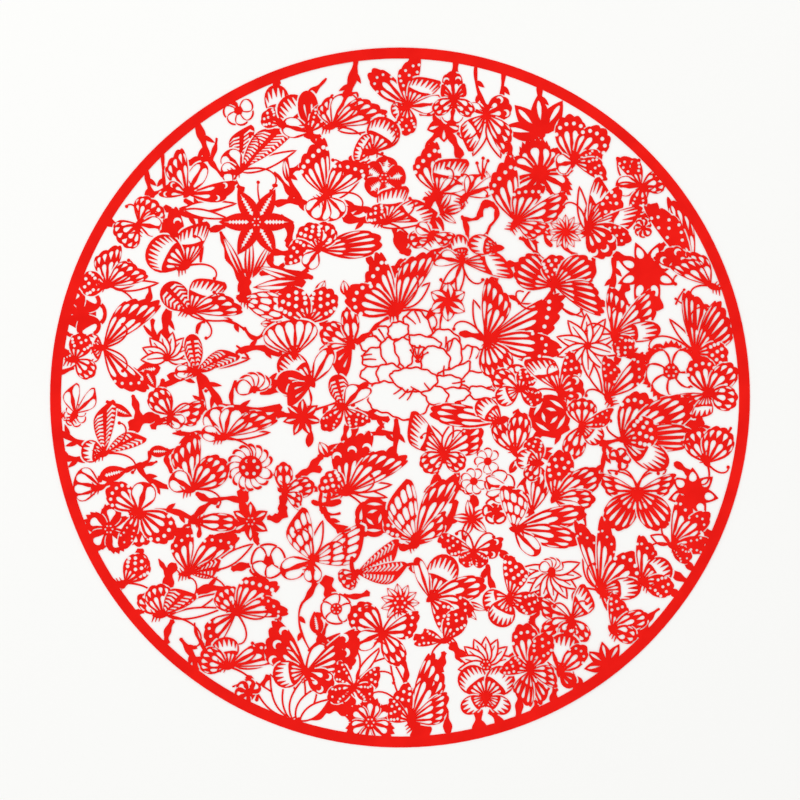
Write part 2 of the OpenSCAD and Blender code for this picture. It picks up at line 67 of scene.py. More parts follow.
# %% [markdown]
# ## Sizes
# All drawing is done in millimetres, on a field of radius 170 round the middle of the sheet, because
# that is how a pattern for cutting is drawn. The sheet's own radius and thickness come from the frame,
# and the field is scaled to fit inside the ring.

# %% Sizes of the sheet
MM = 0.001
LAYOUT_R = 170
RING_W = 5.5
low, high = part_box("paper")
SHEET_R = (high[0] - low[0]) / 2 / MM
PAPER_T = (high[2] - low[2]) / MM
FIELD_R = SHEET_R - RING_W
print(f"sheet radius {SHEET_R:.1f} mm, paper {PAPER_T:.2f} mm thick, field radius {FIELD_R:.1f} mm")

# %% [markdown]
# ## The pattern: butterflies
# Butterflies fill most of the sheet, wing to wing. They could be drawn one by one as curves, but they
# differ only in their place, in how the wings point and in how the knife opens them, so the pattern is a
# table. Ways to open a wing: 0 two slits, 1 long slits, 2 slits and beads, 3 comb, 4 cells, 5 moons,
# 6 veins, 7 feather, 8 spots, 9 fringe. Where motifs overlap, a later one lies over an earlier one.

# %% Butterflies
# x, y, heading, length of the feelers, wings; a wing is turn, length, width, way and, for a few, lean
butterflies = [
    # upper left
    [-80, 114, 25, 24, [[88, 23, 11, 7], [47, 32, 12, 7], [130, 12, 10, 6], [190, 10, 9, 6]]],
    [-107, 102, -130, 0, [[4, 25, 9, 5, 1], [60, 18, 8, 6], [110, 22, 11, 1, -1], [165, 13, 8, 5]]],
    [-131, 87, 75, 14, [[52, 14, 15, 1], [220, 13, 14, 1], [-10, 12, 9, 6]]],
    [-107, 66, 25, 20, [[112, 29, 12, 5], [78, 24, 13, 3], [152, 22, 17, 3]]],
    [-147, 56, 0, 22, [[88, 20, 12, 1], [30, 20, 12, 1], [172, 13, 11, 8]]],
    [-60, 137, -60, 0, [[98, 20, 11, 3], [150, 10, 9, 8]]],
    [-45, 133, -60, 0, [[128, 22, 14, 3], [95, 21, 9, 0], [165, 15, 9, 6], [60, 15, 8, 8]]],
    [-34, 136, 10, 24, [[105, 15, 9, 1], [65, 21, 10, 6], [25, 27, 13, 1, 1]]],
    [4, 146, 20, 0, [[137, 25, 10, 2], [88, 25, 10, 8], [52, 20, 12, 3], [205, 9, 8, 3], [-95, 14, 9, 8],
        [5, 17, 8, 6]]],
    [43, 142, -95, 22, [[160, 10, 7, 6], [25, 13, 11, 5], [232, 20, 11, 3], [-52, 21, 10, 1]]],
    [-14, 123, 0, 20, [[60, 19, 15, 3], [155, 9, 13, 3]]],
    [-37, 101, 30, 24, [[108, 28, 15, 2], [48, 25, 13, 2], [-65, 13, 12, 6], [-120, 13, 12, 6]]],
    [19, 102, 20, 18, [[108, 25, 14, 2], [65, 22, 14, 3], [30, 14, 8, 6]]],
    [-7, 88, -5, 22, [[76, 20, 13, 3], [20, 26, 11, 3], [140, 10, 10, 8]]],
    [-41, 74, -110, 0, [[8, 31, 12, 9], [68, 14, 11, 1], [120, 14, 12, 8], [185, 17, 11, 8],
        [235, 11, 8, 6]]],
    [31, 68, -90, 18, [[143, 27, 11, 3, 1], [-5, 27, 11, 3], [98, 14, 8, 3], [168, 14, 8, 6]]],
    [50, 75, 0, 0, [[170, 16, 9, 3]]],
    [33, 101, 50, 14, [[62, 14, 8, 6], [22, 18, 8, 6]]],
    [27, 150, 90, 0, [[95, 13, 9, 5], [40, 9, 5, 0], [145, 9, 5, 0], [-95, 13, 10, 6], [-40, 12, 7, 1],
        [215, 12, 7, 1]]],
    [16, 82, 60, 0, [[200, 12, 8, 1], [-20, 11, 7, 1], [150, 9, 6, 6]]],
    # upper right
    [87, 118, -120, 0, [[95, 23, 14, 2], [45, 22, 14, 2], [12, 14, 8, 8], [-15, 18, 9, 8],
        [190, 9, 9, 6]]],
    [121, 106, 145, 17, [[118, 18, 9, 8], [180, 13, 9, 6], [15, 12, 10, 1], [-100, 14, 8, 8]]],
    [94, 86, 92, 20, [[66, 25, 11, 3], [38, 24, 12, 8], [10, 29, 10, 3, 1], [-18, 22, 9, 8],
        [-52, 18, 13, 5]]],
    [58, 88, 60, 0, [[106, 32, 14, 2], [66, 22, 12, 2], [20, 28, 11, 1], [-22, 16, 9, 1]]],
    [147, 63, 165, 14, [[103, 38, 9, 1], [119, 40, 11, 8], [145, 20, 11, 5]]],
    [156, 56, 160, 14, [[116, 20, 8, 1], [142, 22, 10, 1]]],
    [77, 56, -90, 24, [[147, 21, 16, 9], [85, 15, 12, 8], [30, 22, 15, 9], [-18, 27, 13, 9]]],
    # middle left
    [-149, 25, 0, 20, [[48, 35, 14, 1], [160, 10, 9, 3], [-52, 30, 11, 2], [205, 11, 9, 3]]],
    [-105, 43, -10, 20, [[135, 19, 12, 7], [55, 22, 14, 3], [12, 25, 11, 1]]],
    [-80, 50, 150, 0, [[-15, 25, 12, 4]]],
    [-102, 13, -15, 14, [[98, 19, 8, 7], [28, 23, 8, 7], [180, 11, 6, 6]]],
    [-115, -9, 70, 14, [[125, 15, 11, 1], [5, 17, 11, 1], [-40, 8, 7, 6]]],
    [-148, -28, 15, 22, [[90, 27, 10, 7], [28, 22, 8, 7], [172, 12, 10, 3]]],
    [-163, -8, 60, 0, [[100, 15, 8, 6], [42, 16, 7, 6]]],
    [-88, -20, 5, 22, [[112, 16, 13, 6], [62, 16, 13, 6], [28, 27, 10, 1], [165, 12, 7, 6]]],
    [-104, -46, 15, 20, [[100, 27, 14, 1], [42, 21, 14, 1], [150, 13, 10, 6]]],
    [-150, -45, 10, 0, [[170, 14, 15, 6]]],
    [-131, -57, 20, 0, [[140, 19, 12, 2], [75, 15, 11, 6], [-90, 17, 13, 1], [-38, 21, 14, 2],
        [-115, 20, 7, 8]]],
    [-46, 37, -90, 0, [[55, 20, 13, 8], [125, 20, 14, 8]]],
    [-24, 26, -60, 0, [[150, 17, 12, 1], [95, 19, 8, 1], [200, 21, 9, 1], [238, 17, 10, 0]]],
    # middle
    [-1, 43, 25, 26, [[94, 26, 11, 8], [120, 30, 14, 2], [68, 34, 13, 1], [160, 27, 14, 2]]],
    [43, 29, 112, 22, [[75, 30, 14, 1], [20, 43, 17, 2], [-8, 36, 12, 2], [-65, 20, 15, 1]]],
    [-44, 7, -60, 0, [[140, 21, 13, 3], [62, 20, 8, 6], [178, 18, 11, 0], [208, 16, 9, 0]]],
    [-53, 21, -90, 0, [[100, 18, 24, 6]]],
    [-28, -5, -20, 0, [[105, 17, 9, 7], [50, 16, 10, 6], [-45, 14, 9, 8], [225, 15, 8, 8]]],
    [-27, -48, -15, 20, [[82, 31, 17, 5], [40, 34, 14, 1], [150, 14, 13, 8]]],
    [22, -28, 95, 18, [[140, 26, 13, 3, 1], [28, 24, 13, 1], [215, 13, 10, 1], [-35, 12, 9, 1]]],
    [8, -72, 40, 0, [[138, 23, 12, 8], [110, 31, 15, 4], [64, 38, 11, 1], [35, 20, 8, 1]]],
    [-58, -48, -100, 0, [[92, 15, 8, 1], [18, 15, 9, 1], [-30, 11, 7, 1]]],
    [58, -28, -60, 0, [[115, 19, 12, 1], [82, 20, 10, 1]]],
    [51, -12, 0, 0, [[172, 35, 10, 1], [140, 16, 10, 3]]],
    [56, -46, 150, 0, [[170, 14, 8, 6], [205, 13, 7, 6]]],
    [60, 4, 200, 0, [[105, 13, 10, 4], [150, 15, 10, 1], [60, 11, 9, 8], [205, 13, 9, 3],
        [-30, 12, 8, 8]]],
    [66, -58, 90, 0, [[104, 20, 9, 6], [74, 24, 9, 1], [140, 15, 10, 8]]],
    [70, -33, 0, 0, [[110, 13, 9, 8], [165, 12, 9, 3], [230, 10, 7, 1]]],
    [-163, 19, 0, 0, [[70, 13, 10, 8], [-40, 12, 9, 1]]],
    # middle right
    [107, 31, 120, 18, [[80, 23, 12, 1], [38, 29, 13, 1], [8, 24, 9, 3], [-45, 12, 10, 8]]],
    [148, 22, 125, 30, [[86, 30, 15, 9], [50, 27, 17, 9], [-5, 16, 12, 8]]],
    [154, 2, 170, 0, [[105, 18, 13, 2], [45, 19, 11, 1], [-15, 15, 11, 1], [205, 17, 10, 9],
        [255, 14, 9, 3]]],
    [104, 0, 125, 14, [[82, 20, 9, 8], [42, 28, 10, 2]]],
    [80, 3, 150, 18, [[125, 23, 12, 3], [62, 20, 10, 8], [10, 12, 12, 5]]],
    [111, -21, 170, 14, [[62, 25, 15, 2], [28, 38, 16, 1], [2, 36, 12, 9], [-30, 27, 12, 3],
        [18, 18, 14, 8]]],
    [91, -14, 90, 0, [[88, 13, 13, 1], [250, 17, 10, 1], [-38, 13, 9, 3], [18, 17, 7, 8]]],
    [119, -47, 90, 18, [[168, 20, 9, 1, 1], [12, 20, 9, 1, -1], [232, 22, 14, 9], [-52, 22, 14, 9]]],
    [154, -33, -60, 14, [[112, 18, 13, 1], [62, 19, 14, 1]]],
    [77, -51, -120, 0, [[78, 24, 12, 8], [30, 26, 12, 1], [0, 20, 9, 1], [-30, 21, 8, 6]]],
    # lower left
    [-106, -88, 10, 28, [[102, 22, 11, 2], [45, 30, 11, 2], [10, 17, 8, 7]]],
    [-138, -93, 10, 22, [[52, 16, 12, 8]]],
    [-119, -109, 5, 30, [[142, 15, 8, 1], [102, 15, 12, 1], [45, 19, 11, 7]]],
    [-82, -108, -40, 20, [[122, 14, 12, 1], [50, 24, 15, 2], [10, 25, 10, 2], [222, 23, 11, 2]]],
    [-104, -62, 180, 0, [[-2, 22, 8, 1]]],
    [-86, -135, -5, 22, [[100, 15, 12, 3], [20, 28, 11, 2], [160, 15, 12, 1]]],
    [-44, -82, 70, 22, [[112, 27, 13, 4, 1], [22, 31, 15, 4, 1], [200, 17, 10, 6], [-88, 11, 8, 6]]],
    [-22, -88, 60, 0, [[30, 27, 9, 7], [0, 26, 10, 7], [215, 9, 10, 1]]],
    # lower middle
    [15, -101, -140, 0, [[65, 24, 14, 3], [108, 22, 6, 6], [16, 28, 11, 1], [-18, 22, 10, 2],
        [-50, 18, 11, 8]]],
    [-9, -118, 80, 20, [[140, 19, 14, 2], [15, 20, 11, 2], [205, 15, 9, 6], [-58, 18, 10, 1]]],
    [-47, -137, 100, 20, [[138, 28, 17, 5], [25, 31, 16, 5], [190, 17, 12, 3], [-35, 15, 11, 5]]],
    [-23, -145, 55, 26, [[135, 14, 8, 8], [22, 15, 9, 8], [205, 14, 8, 8], [-25, 10, 8, 8]]],
    [43, -150, 90, 0, [[128, 18, 13, 3], [48, 18, 13, 3], [-150, 14, 8, 3], [-30, 14, 8, 3]]],
    [5, -162, 105, 30, [[62, 34, 14, 1], [22, 22, 12, 1], [110, 18, 11, 8], [150, 14, 9, 8]]],
    [22, -122, -160, 14, [[172, 14, 8, 8], [58, 17, 10, 8]]],
    [55, -100, 100, 0, [[78, 20, 12, 8], [200, 14, 12, 3], [245, 16, 12, 3], [-20, 15, 10, 8]]],
    [37, -77, 85, 16, [[165, 17, 9, 8], [8, 15, 9, 5], [230, 9, 7, 8], [-55, 9, 7, 8]]],
    # lower right
    [57, -66, 170, 0, [[14, 36, 10, 1], [-10, 32, 10, 1], [-45, 18, 8, 6], [90, 22, 12, 4]]],
    [100, -97, 150, 18, [[103, 36, 9, 2], [82, 36, 9, 2], [40, 26, 14, 2], [5, 21, 10, 3],
        [-45, 20, 8, 8]]],
    [86, -111, 95, 14, [[55, 18, 11, 3], [158, 19, 8, 1], [205, 16, 8, 1], [-55, 13, 8, 1],
        [250, 11, 8, 1]]],
    [121, -92, 140, 0, [[80, 22, 10, 2], [30, 17, 12, 3], [-15, 16, 10, 8]]],
    [136, -74, 150, 14, [[68, 25, 11, 2], [40, 24, 9, 2], [0, 20, 8, 8], [-40, 12, 7, 8]]],
    [106, -116, 130, 0, [[72, 17, 10, 8], [20, 19, 9, 1], [-20, 13, 8, 1]]],
    [80, -138, -100, 0, [[78, 20, 14, 3], [108, 15, 8, 6], [45, 18, 9, 2], [-40, 10, 7, 0]]],
    [65, -137, -90, 0, [[98, 23, 12, 2], [62, 20, 10, 8], [-58, 17, 9, 9], [-105, 17, 10, 9],
        [-15, 15, 9, 1], [165, 14, 9, 8]]],
]
print(len(butterflies), "butterflies with", sum(len(b[4]) for b in butterflies), "wings")

# %% [markdown]
# ## The pattern: flowers and leaves
# Blossoms and leaves fill the gaps. A blossom is one petal set round a heart again and again, as the spin
# tool would do it, so a row holds one petal and how often it comes. Kinds of petal: 0 round, 1 pointed,
# 2 pinked like a carnation, 3 rose, 4 outlined. Cuts: 0 none, 1 a slit, 3 a toothed rib, 5 an oval,
# 6 opened up, 10 three slits.

# %% Flowers and leaves
# x, y, radius, petals, first turn, sweep, petal width, kind, cut, radius of the heart
flowers = [
    [-72, 88, 19, 6, 0, 360, 9, 1, 3, 3], [-8, 110, 11, 5, 80, 360, 10, 0, 3, 3],
    [70, 112, 17, 5, 30, 360, 14, 2, 10, 2], [83, 83, 9, 12, 0, 360, 4, 1, 6, 2],
    [122, 85, 5, 8, 0, 360, 4, 0, 1, 1], [124, 63, 16, 8, 22, 360, 7, 1, 5, 5.5],
    [-160, 42, 13, 6, 0, 360, 11, 0, 5, 4], [-117, 20, 13, 8, -5, 190, 6, 4, 0, 2],
    [-163, -9, 6, 7, 180, 360, 4, 0, 6, 1], [-75, -35, 12, 16, 0, 360, 5, 0, 6, 6],
    [-73, 3, 10, 5, 50, 110, 7, 0, 6, 1], [24, 48, 10, 6, 30, 360, 8, 1, 6, 2],
    [-49, -10, 10, 7, 90, 360, 5, 1, 1, 2], [44, -32, 7, 8, 0, 360, 4, 0, 6, 2],
    [37, -42, 7, 8, 20, 360, 4, 0, 6, 2], [-13, -60, 10, 6, 30, 360, 9, 3, 0, 5],
    [94, 26, 16, 10, 20, 360, 6, 4, 0, 2], [136, 13, 14, 7, 90, 360, 11, 2, 6, 4],
    [75, -9, 10.5, 7, 0, 360, 11.5, 3, 5, 4], [147, -48, 13, 7, 40, 360, 7.5, 1, 5, 4.5],
    [-146, -66, 12, 5, 10, 360, 9, 2, 1, 3], [-66, -82, 9, 5, 90, 360, 10, 0, 6, 2],
    [-75, -62, 10, 6, 30, 360, 6, 1, 1, 3], [0, -103, 10, 11, 0, 360, 5, 1, 6, 4],
    [-32, -106, 8, 5, 50, 360, 9, 0, 6, 3], [43, -134, 14, 9, -10, 200, 6, 4, 0, 3],
    [-15, -163, 12, 6, 30, 360, 9, 2, 10, 3], [76, -88, 15, 9, -190, 210, 6, 4, 0, 2],
    [76, -87, 7, 5, 40, 110, 5, 0, 6, 1], [104, -134, 12, 4, 60, 130, 6, 1, 1, 2],
    [36, -61, 10, 5, 30, 360, 5, 1, 6, 2], [71, 132, 20, 4, 58, 112, 10, 1, 1, 2],
    [-81, 144, 8, 5, 190, 200, 6, 0, 6, 2], [48, -57, 7, 6, 0, 360, 6, 0, 5, 2],
    [50, -44, 8, 5, 20, 360, 7, 0, 6, 1.5], [22, 137, 9, 5, 54, 360, 7, 1, 1, 2],
    [-76, -148, 7, 5, 40, 200, 6, 0, 1, 2], [110, -31, 6, 4, -60, 200, 5, 0, 1, 2],
    [-64, 37, 6, 6, 0, 360, 4, 1, 6, 1],
]

# x, y, turn, length, width, cut
leaves = [
    [-120, 15, 190, 13, 8, 3], [-128, 14, -60, 11, 6, 3], [-117, 11, -10, 10, 5, 0],
    [-151, -40, 15, 15, 8, 3], [-146, -4, -25, 13, 6, 3], [-126, -27, 0, 11, 6, 3],
    [20, 94, 60, 11, 5, 6], [22, 93, 15, 11, 5, 6], [20, 93, -35, 10, 4, 6], [-56, 108, 100, 12, 4, 6],
    [0, 84, -85, 12, 8, 0], [-78, 58, 115, 26, 5, 6], [-76, 58, 88, 25, 5, 6], [-74, 60, 62, 22, 4, 6],
    [-41, -119, 100, 12, 7, 3], [-46, -25, 80, 9, 4, 0], [-36, -30, 120, 9, 6, 6],
    [-27, 51, 100, 8, 5, 6], [22, 131, 82, 14, 10, 1], [27, 150, 92, 14, 8, 1], [-42, 51, 60, 9, 5, 6],
    [-54, 24, 150, 9, 4, 0], [-47, 58, 163, 26, 6, 6], [-47, 58, 186, 27, 7, 6], [-47, 58, 206, 20, 5, 0],
    [33, -103, -20, 11, 4, 6], [32, -104, -50, 10, 4, 6], [34, -100, 10, 9, 4, 6],
    [62, 84, -60, 14, 6, 1], [66, 88, -35, 12, 5, 1], [16, 92, -60, 12, 6, 1], [55, -38, 60, 9, 4, 1],
    [30, 104, 40, 12, 5, 6], [37, 106, 15, 12, 5, 6], [45, 104, 100, 10, 4, 6],
]
print(len(flowers), "flowers and", len(leaves), "leaves")

# %% [markdown]
# ## The pattern: stems and loops
# A cutting falls apart where its motifs don't touch, so the cutter leaves stems between them and out to
# the ring, and thin loops for hind wings and long petals. Curve objects with a bevel would give round
# wires; a stem is flat paper, so a row holds its two ends, the bend between them and two widths.

# %% Stems and loops
# first end, bend and last end as x and y, then the first and the last width
stems = [
    [-102, 138, -98, 128, -97, 121, 4, 3], [-97, 121, -94, 117, -89, 111, 3, 1.5],
    [-92, 130, -92, 126, -95, 119, 1, 3], [-97, 120, -103, 118, -109, 117, 4, 4],
    [-127, 115, -127, 107, -124, 101, 2, 3], [-124, 102, -119, 104, -114, 106, 2, 1.5],
    [-119, 122, -119, 113, -118, 104, 1.5, 1.5], [-100, 90, -99, 80, -100, 68, 2.5, 1.5],
    [-84, 111, -83, 107, -79, 104, 1.5, 3], [-118, 95, -109, 92, -100, 90, 3, 2],
    [-116, 63, -114, 57, -116, 50, 1.5, 1.5], [-140, 78, -134, 80, -132, 84, 2, 2],
    [-89, 95, -97, 92, -108, 99, 1.5, 2], [-90, 83, -88, 78, -86, 70, 2, 3],
    [-86, 70, -80, 62, -77, 54, 3, 4], [-77, 55, -79, 52, -80, 49, 5, 4],
    [-63, 113, -58, 108, -55, 102, 1, 3], [-57, 120, -57, 108, -50, 99, 2, 3],
    [-62, 97, -54, 100, -46, 97, 3, 3], [-60, 90, -53, 88, -56, 78, 4, 4],
    [-56, 78, -52, 74, -46, 74, 4, 5], [-64, 72, -68, 66, -58, 63, 3, 3],
    [-70, 62, -58, 66, -44, 60, 3, 2], [-66, 52, -54, 58, -44, 66, 3, 3],
    [-62, 159, -61, 152, -63, 146, 3, 6], [-37, 160, -41, 155, -46, 152, 0.8, 4],
    [-55, 137, -48, 130, -40, 131, 2, 3], [-22, 170, -23, 160, -27, 151, 3, 5],
    [38, 166, 37, 155, 43, 146, 1.5, 2], [52, 162, 51, 153, 51, 147, 2, 2],
    [28, 168, 27, 160, 27, 152, 3, 7], [27, 154, 27, 148, 24, 142, 7, 4],
    [21, 159, 24, 157, 27, 152, 1, 4], [33, 157, 30, 156, 27, 152, 1, 4],
    [24, 144, 33, 142, 40, 143, 3, 2], [20, 133, 15, 130, 13, 122, 3, 3],
    [24, 133, 28, 128, 30, 121, 3, 4], [10, 142, 16, 142, 22, 144, 2, 2],
    [-20, 119, -26, 117, -31, 115, 2.5, 2.5], [12, 97, 16, 99, 20, 103, 5, 5],
    [-13, 92, -20, 97, -27, 94, 3, 3], [-13, 90, -20, 88, -28, 90, 3, 4], [-2, 88, -4, 84, -1, 79, 2, 3],
    [1, 74, 3, 71, 5, 74, 3, 3], [33, 78, 35, 84, 31, 91, 3, 2], [31, 90, 37, 88, 40, 91, 2, 1.5],
    [40, 91, 41, 100, 48, 96, 3, 4], [48, 96, 50, 90, 45, 86, 3, 1], [45, 86, 44, 82, 40, 77, 1, 3],
    [-36, 90, -36, 86, -38, 80, 4, 4], [15, 88, 18, 85, 16, 82, 1, 1],
    [71, 134, 72, 130, 69, 127, 1.5, 2], [79, 140, 83, 139, 83, 132, 2, 2],
    [70, 156, 70, 149, 71, 140, 2.5, 4], [62, 112, 64, 104, 64, 98, 4, 5],
    [145, 70, 138, 69, 132, 67, 1.5, 3], [97, 70, 98, 63, 95, 57, 2, 3],
    [107, 70, 108, 63, 106, 54, 2, 3], [108, 71, 114, 70, 119, 66, 4, 4], [75, 84, 70, 81, 76, 76, 2, 2],
    [80, 78, 84, 73, 89, 71, 1.5, 2], [60, 80, 66, 78, 71, 68, 2, 3], [90, 83, 92, 82, 95, 83, 2, 2],
    [115, 92, 121, 93, 125, 88, 4, 3], [127, 96, 131, 92, 132, 84, 4, 3],
    [132, 84, 134, 78, 140, 75, 3, 3], [118, 97, 116, 94, 116, 91, 3, 3],
    [124, 56, 130, 52, 129, 45, 4, 5], [114, 56, 110, 53, 110, 47, 4, 5],
    [56, 96, 52, 104, 52, 112, 3, 4], [52, 112, 54, 118, 60, 120, 4, 4],
    [54, 130, 54, 124, 56, 119, 3, 4], [-157, 25, -163, 25, -171, 20, 2.5, 2],
    [-158, 17, -164, 15, -171, 12, 2.5, 2], [-129, 46, -124, 50, -126, 56, 4, 1.5],
    [-130, 39, -128, 34, -122, 29, 1, 2], [-124, 39, -125, 33, -121, 28, 2, 2],
    [-115, 46, -119, 38, -117, 29, 4, 4], [-98, 38, -102, 38, -102, 30, 1.5, 2],
    [-98, 39, -84, 40, -78, 34, 1, 1.5], [-78, 35, -73, 25, -67, 34, 2, 2],
    [-67, 33, -64, 37, -60, 39, 2, 2], [-82, 22, -73, 28, -60, 22, 2.5, 4],
    [-121, 5, -112, 9, -102, 12, 2.5, 2], [-101, 11, -95, 6, -90, -4, 4, 3],
    [-97, -8, -100, 0, -101, 10, 2.5, 2], [-90, -4, -78, -8, -60, -5, 4, 3],
    [-84, -4, -86, 2, -82, 8, 2, 2], [-70, 2, -62, 4, -56, 4, 2, 4],
    [-121, -10, -128, -9, -134, -15, 4, 6], [-134, 1, -132, -5, -131, -10, 2.5, 4],
    [-134, -15, -134, -18, -138, -19, 4, 2], [-157, -24, -163, -22, -171, -17, 3, 2.5],
    [-157, -31, -163, -31, -171, -30, 3, 3], [-100, -19, -107, -18, -114, -18, 4, 1],
    [-106, -21, -103, -18, -97, -19, 3, 3], [-116, -28, -119, -31, -114, -37, 2, 3],
    [-126, -27, -124, -32, -130, -34, 1.5, 2], [-131, -34, -128, -43, -116, -45, 2.5, 3],
    [-138, -37, -133, -34, -128, -34, 2, 3], [-128, -34, -123, -33, -122, -32, 2, 1],
    [-88, -34, -86, -32, -84, -33, 3, 3], [-63, -37, -59, -39, -60, -47, 2, 3],
    [-124, -57, -114, -55, -104, -61, 2, 3], [-104, -61, -100, -56, -94, -52, 4, 2],
    [-94, -52, -86, -49, -80, -52, 1.5, 3], [-80, -47, -80, -54, -76, -60, 3, 4],
    [-142, -4, -146, -3, -147, -2, 2, 2], [-168, -9, -171, -9, -173, -9, 4, 4],
    [-150, -45, -147, -44, -144, -41, 2, 2], [-82, 26, -78, 23, -76, 20, 1, 1],
    [-62, -8, -55, -9, -50, -10, 3, 3], [-124, -15, -122, -12, -118, -11, 3, 3],
    [-58, 49, -64, 46, -66, 39, 3, 2], [-40, 37, -36, 37, -32, 34, 3, 4],
    [-22, 28, -18, 30, -13, 34, 4, 1.5], [-46, 5, -43, -2, -46, -6, 1, 1],
    [-30, -2, -40, -5, -47, -8, 1, 1], [-22, -6, -15, -10, -6, -11, 3, 3],
    [-26, -12, -28, -18, -28, -22, 2, 3], [-28, -23, -36, -24, -40, -30, 1, 3],
    [-40, -30, -44, -34, -48, -38, 4, 2], [-2, -11, -1, -20, -4, -32, 3, 3],
    [2, -10, 8, -11, 12, -14, 3, 3], [20, -33, 17, -40, 16, -50, 2.5, 3],
    [28, -34, 30, -44, 25, -52, 4, 4], [30, -45, 38, -46, 37, -54, 4, 4],
    [37, -54, 34, -56, 36, -62, 3, 2], [50, -31, 46, -30, 44, -31, 2, 2],
    [38, -40, 42, -38, 44, -34, 2, 2], [-17, -19, -10, -17, -3, -18, 3, 2],
    [-40, -56, -36, -60, -30, -58, 2, 1], [-38, -55, -36, -66, -26, -66, 2, 3],
    [-44, -52, -40, -55, -30, -52, 2, 3], [-52, -40, -46, -36, -40, -36, 3, 3],
    [-24, -4, -19, 4, -16, 6, 2, 2], [-20, 6, -16, 8, -10, 7, 1.5, 1.5], [46, 13, 47, 8, 49, 4, 3, 5],
    [14, -2, 22, -2, 30, -3, 2, 4], [30, 32, 34, 32, 42, 30, 3, 3], [20, 33, 20, 38, 21, 42, 1, 1],
    [-2, 43, -1, 40, -1, 37, 1.5, 1], [-15, 33, -12, 37, -6, 40, 1.5, 1.5],
    [99, 30, 103, 31, 107, 31, 1, 1.5], [81, 25, 77, 26, 74, 26, 1, 2], [109, 22, 116, 20, 125, 21, 3, 3],
    [110, 23, 109, 19, 108, 15, 3, 3], [66, 19, 61, 20, 56, 22, 3, 3],
    [97, -24, 103, -23, 110, -21, 2, 2], [103, -23, 102, -31, 101, -39, 2, 2],
    [103, -24, 106, -26, 109, -30, 2, 3], [138, -33, 143, -36, 146, -39, 3, 3],
    [60, 47, 57, 52, 52, 50, 2, 2], [92, -2, 86, -2, 80, 1, 2, 3], [66, -14, 62, -10, 58, -8, 4, 5],
    [84, -15, 80, -20, 70, -18, 3, 3], [70, -18, 66, -22, 62, -24, 3, 4],
    [64, -24, 72, -30, 79, -30, 4, 3], [131, 26, 126, 24, 124, 20, 3, 3],
    [150, -14, 148, -8, 152, -2, 4, 4], [140, -17, 146, -12, 152, -13, 4, 4],
    [150, -18, 156, -14, 161, -20, 5, 4], [161, -20, 165, -18, 166, -15, 3, 1],
    [-131, -77, -129, -80, -131, -84, 4, 4], [-138, -94, -142, -94, -147, -92, 3, 4],
    [-113, -84, -117, -88, -116, -96, 4, 5], [-121, -81, -119, -85, -116, -88, 1, 4],
    [-102, -98, -94, -93, -85, -98, 4, 3], [-117, -123, -118, -118, -114, -112, 3, 3],
    [-110, -121, -106, -126, -102, -133, 2, 4], [-103, -113, -103, -119, -99, -124, 1, 2],
    [-100, -131, -102, -135, -105, -139, 4, 5], [-72, -68, -73, -72, -70, -75, 3, 2],
    [-84, -86, -78, -84, -73, -84, 4, 3], [-74, -86, -72, -91, -67, -94, 3, 4],
    [-60, -86, -56, -88, -54, -88, 3, 3], [-84, -64, -80, -66, -77, -64, 3, 4],
    [-106, -66, -106, -62, -103, -60, 2, 3], [-101, -70, -100, -66, -101, -62, 2, 2],
    [-113, -68, -108, -66, -106, -64, 4, 2], [-88, -69, -82, -67, -80, -66, 2, 3],
    [-92, -75, -86, -70, -83, -76, 1, 1], [-66, -60, -62, -62, -58, -58, 3, 5],
    [-58, -58, -60, -54, -58, -50, 4, 4], [-61, -110, -62, -116, -60, -122, 3, 4],
    [-84, -145, -78, -143, -75, -150, 1, 5], [-76, -140, -74, -146, -78, -152, 4, 4],
    [-72, -152, -70, -144, -66, -140, 2, 3], [-46, -161, -38, -160, -36, -154, 3, 4],
    [-20, -68, -16, -68, -12, -66, 3, 4], [0, -75, 5, -76, 9, -72, 3, 4],
    [-14, -90, 0, -82, 12, -85, 3, 3], [-37, -91, -36, -96, -34, -101, 6, 5],
    [-42, -91, -44, -98, -49, -103, 4, 1.5], [-49, -103, -54, -112, -45, -127, 1, 1],
    [-46, -127, -40, -121, -30, -119, 1.5, 1.5], [-39, -121, -38, -116, -36, -112, 1.5, 1.5],
    [-28, -99, -22, -101, -16, -98, 2, 3], [2, -109, 4, -112, 5, -115, 2, 3],
    [8, -121, 14, -119, 20, -122, 4, 4], [1, -132, 5, -137, 2, -143, 2.5, 2.5],
    [2, -143, 4, -148, 9, -150, 3, 4], [-26, -150, -25, -156, -20, -160, 5, 6],
    [-38, -156, -32, -154, -26, -158, 5, 5], [8, -162, 10, -166, 12, -172, 8, 10],
    [39, -157, 40, -163, 38, -171, 4, 5], [46, -157, 50, -162, 52, -168, 4, 4],
    [38, -92, 42, -91, 43, -86, 4, 2], [58, -99, 68, -101, 77, -99, 3, 3],
    [26, -124, 29, -127, 32, -132, 4, 5], [8, -72, 24, -72, 28, -52, 3, 4],
    [20, -71, 22, -73, 24, -75, 3, 4], [44, -84, 44, -90, 47, -96, 2, 3],
    [48, -76, 54, -80, 56, -82, 3, 4], [22, -128, 21, -133, 20, -137, 3, 4],
    [24, -168, 24, -162, 22, -156, 4, 3], [-86, 150, -84, 147, -81, 144, 4, 3],
    [-41, -119, -41, -121, -39, -121, 1.5, 1.5], [-27, 53, -25, 50, -22, 48, 1.5, 2],
    [48, -50, 50, -48, 54, -46, 2, 2], [-34, -30, -30, -29, -27, -27, 2, 2],
    [87, -68, 91, -70, 95, -70, 2, 3], [106, -64, 108, -62, 107, -59, 3, 3],
    [152, -74, 156, -75, 160, -77, 3, 4], [136, -87, 140, -91, 147, -93, 4, 3],
    [134, -95, 137, -98, 141, -100, 4, 3], [143, -82, 146, -86, 151, -89, 3, 3],
    [119, -114, 120, -108, 126, -104, 3, 1], [123, -114, 126, -108, 130, -106, 4, 1],
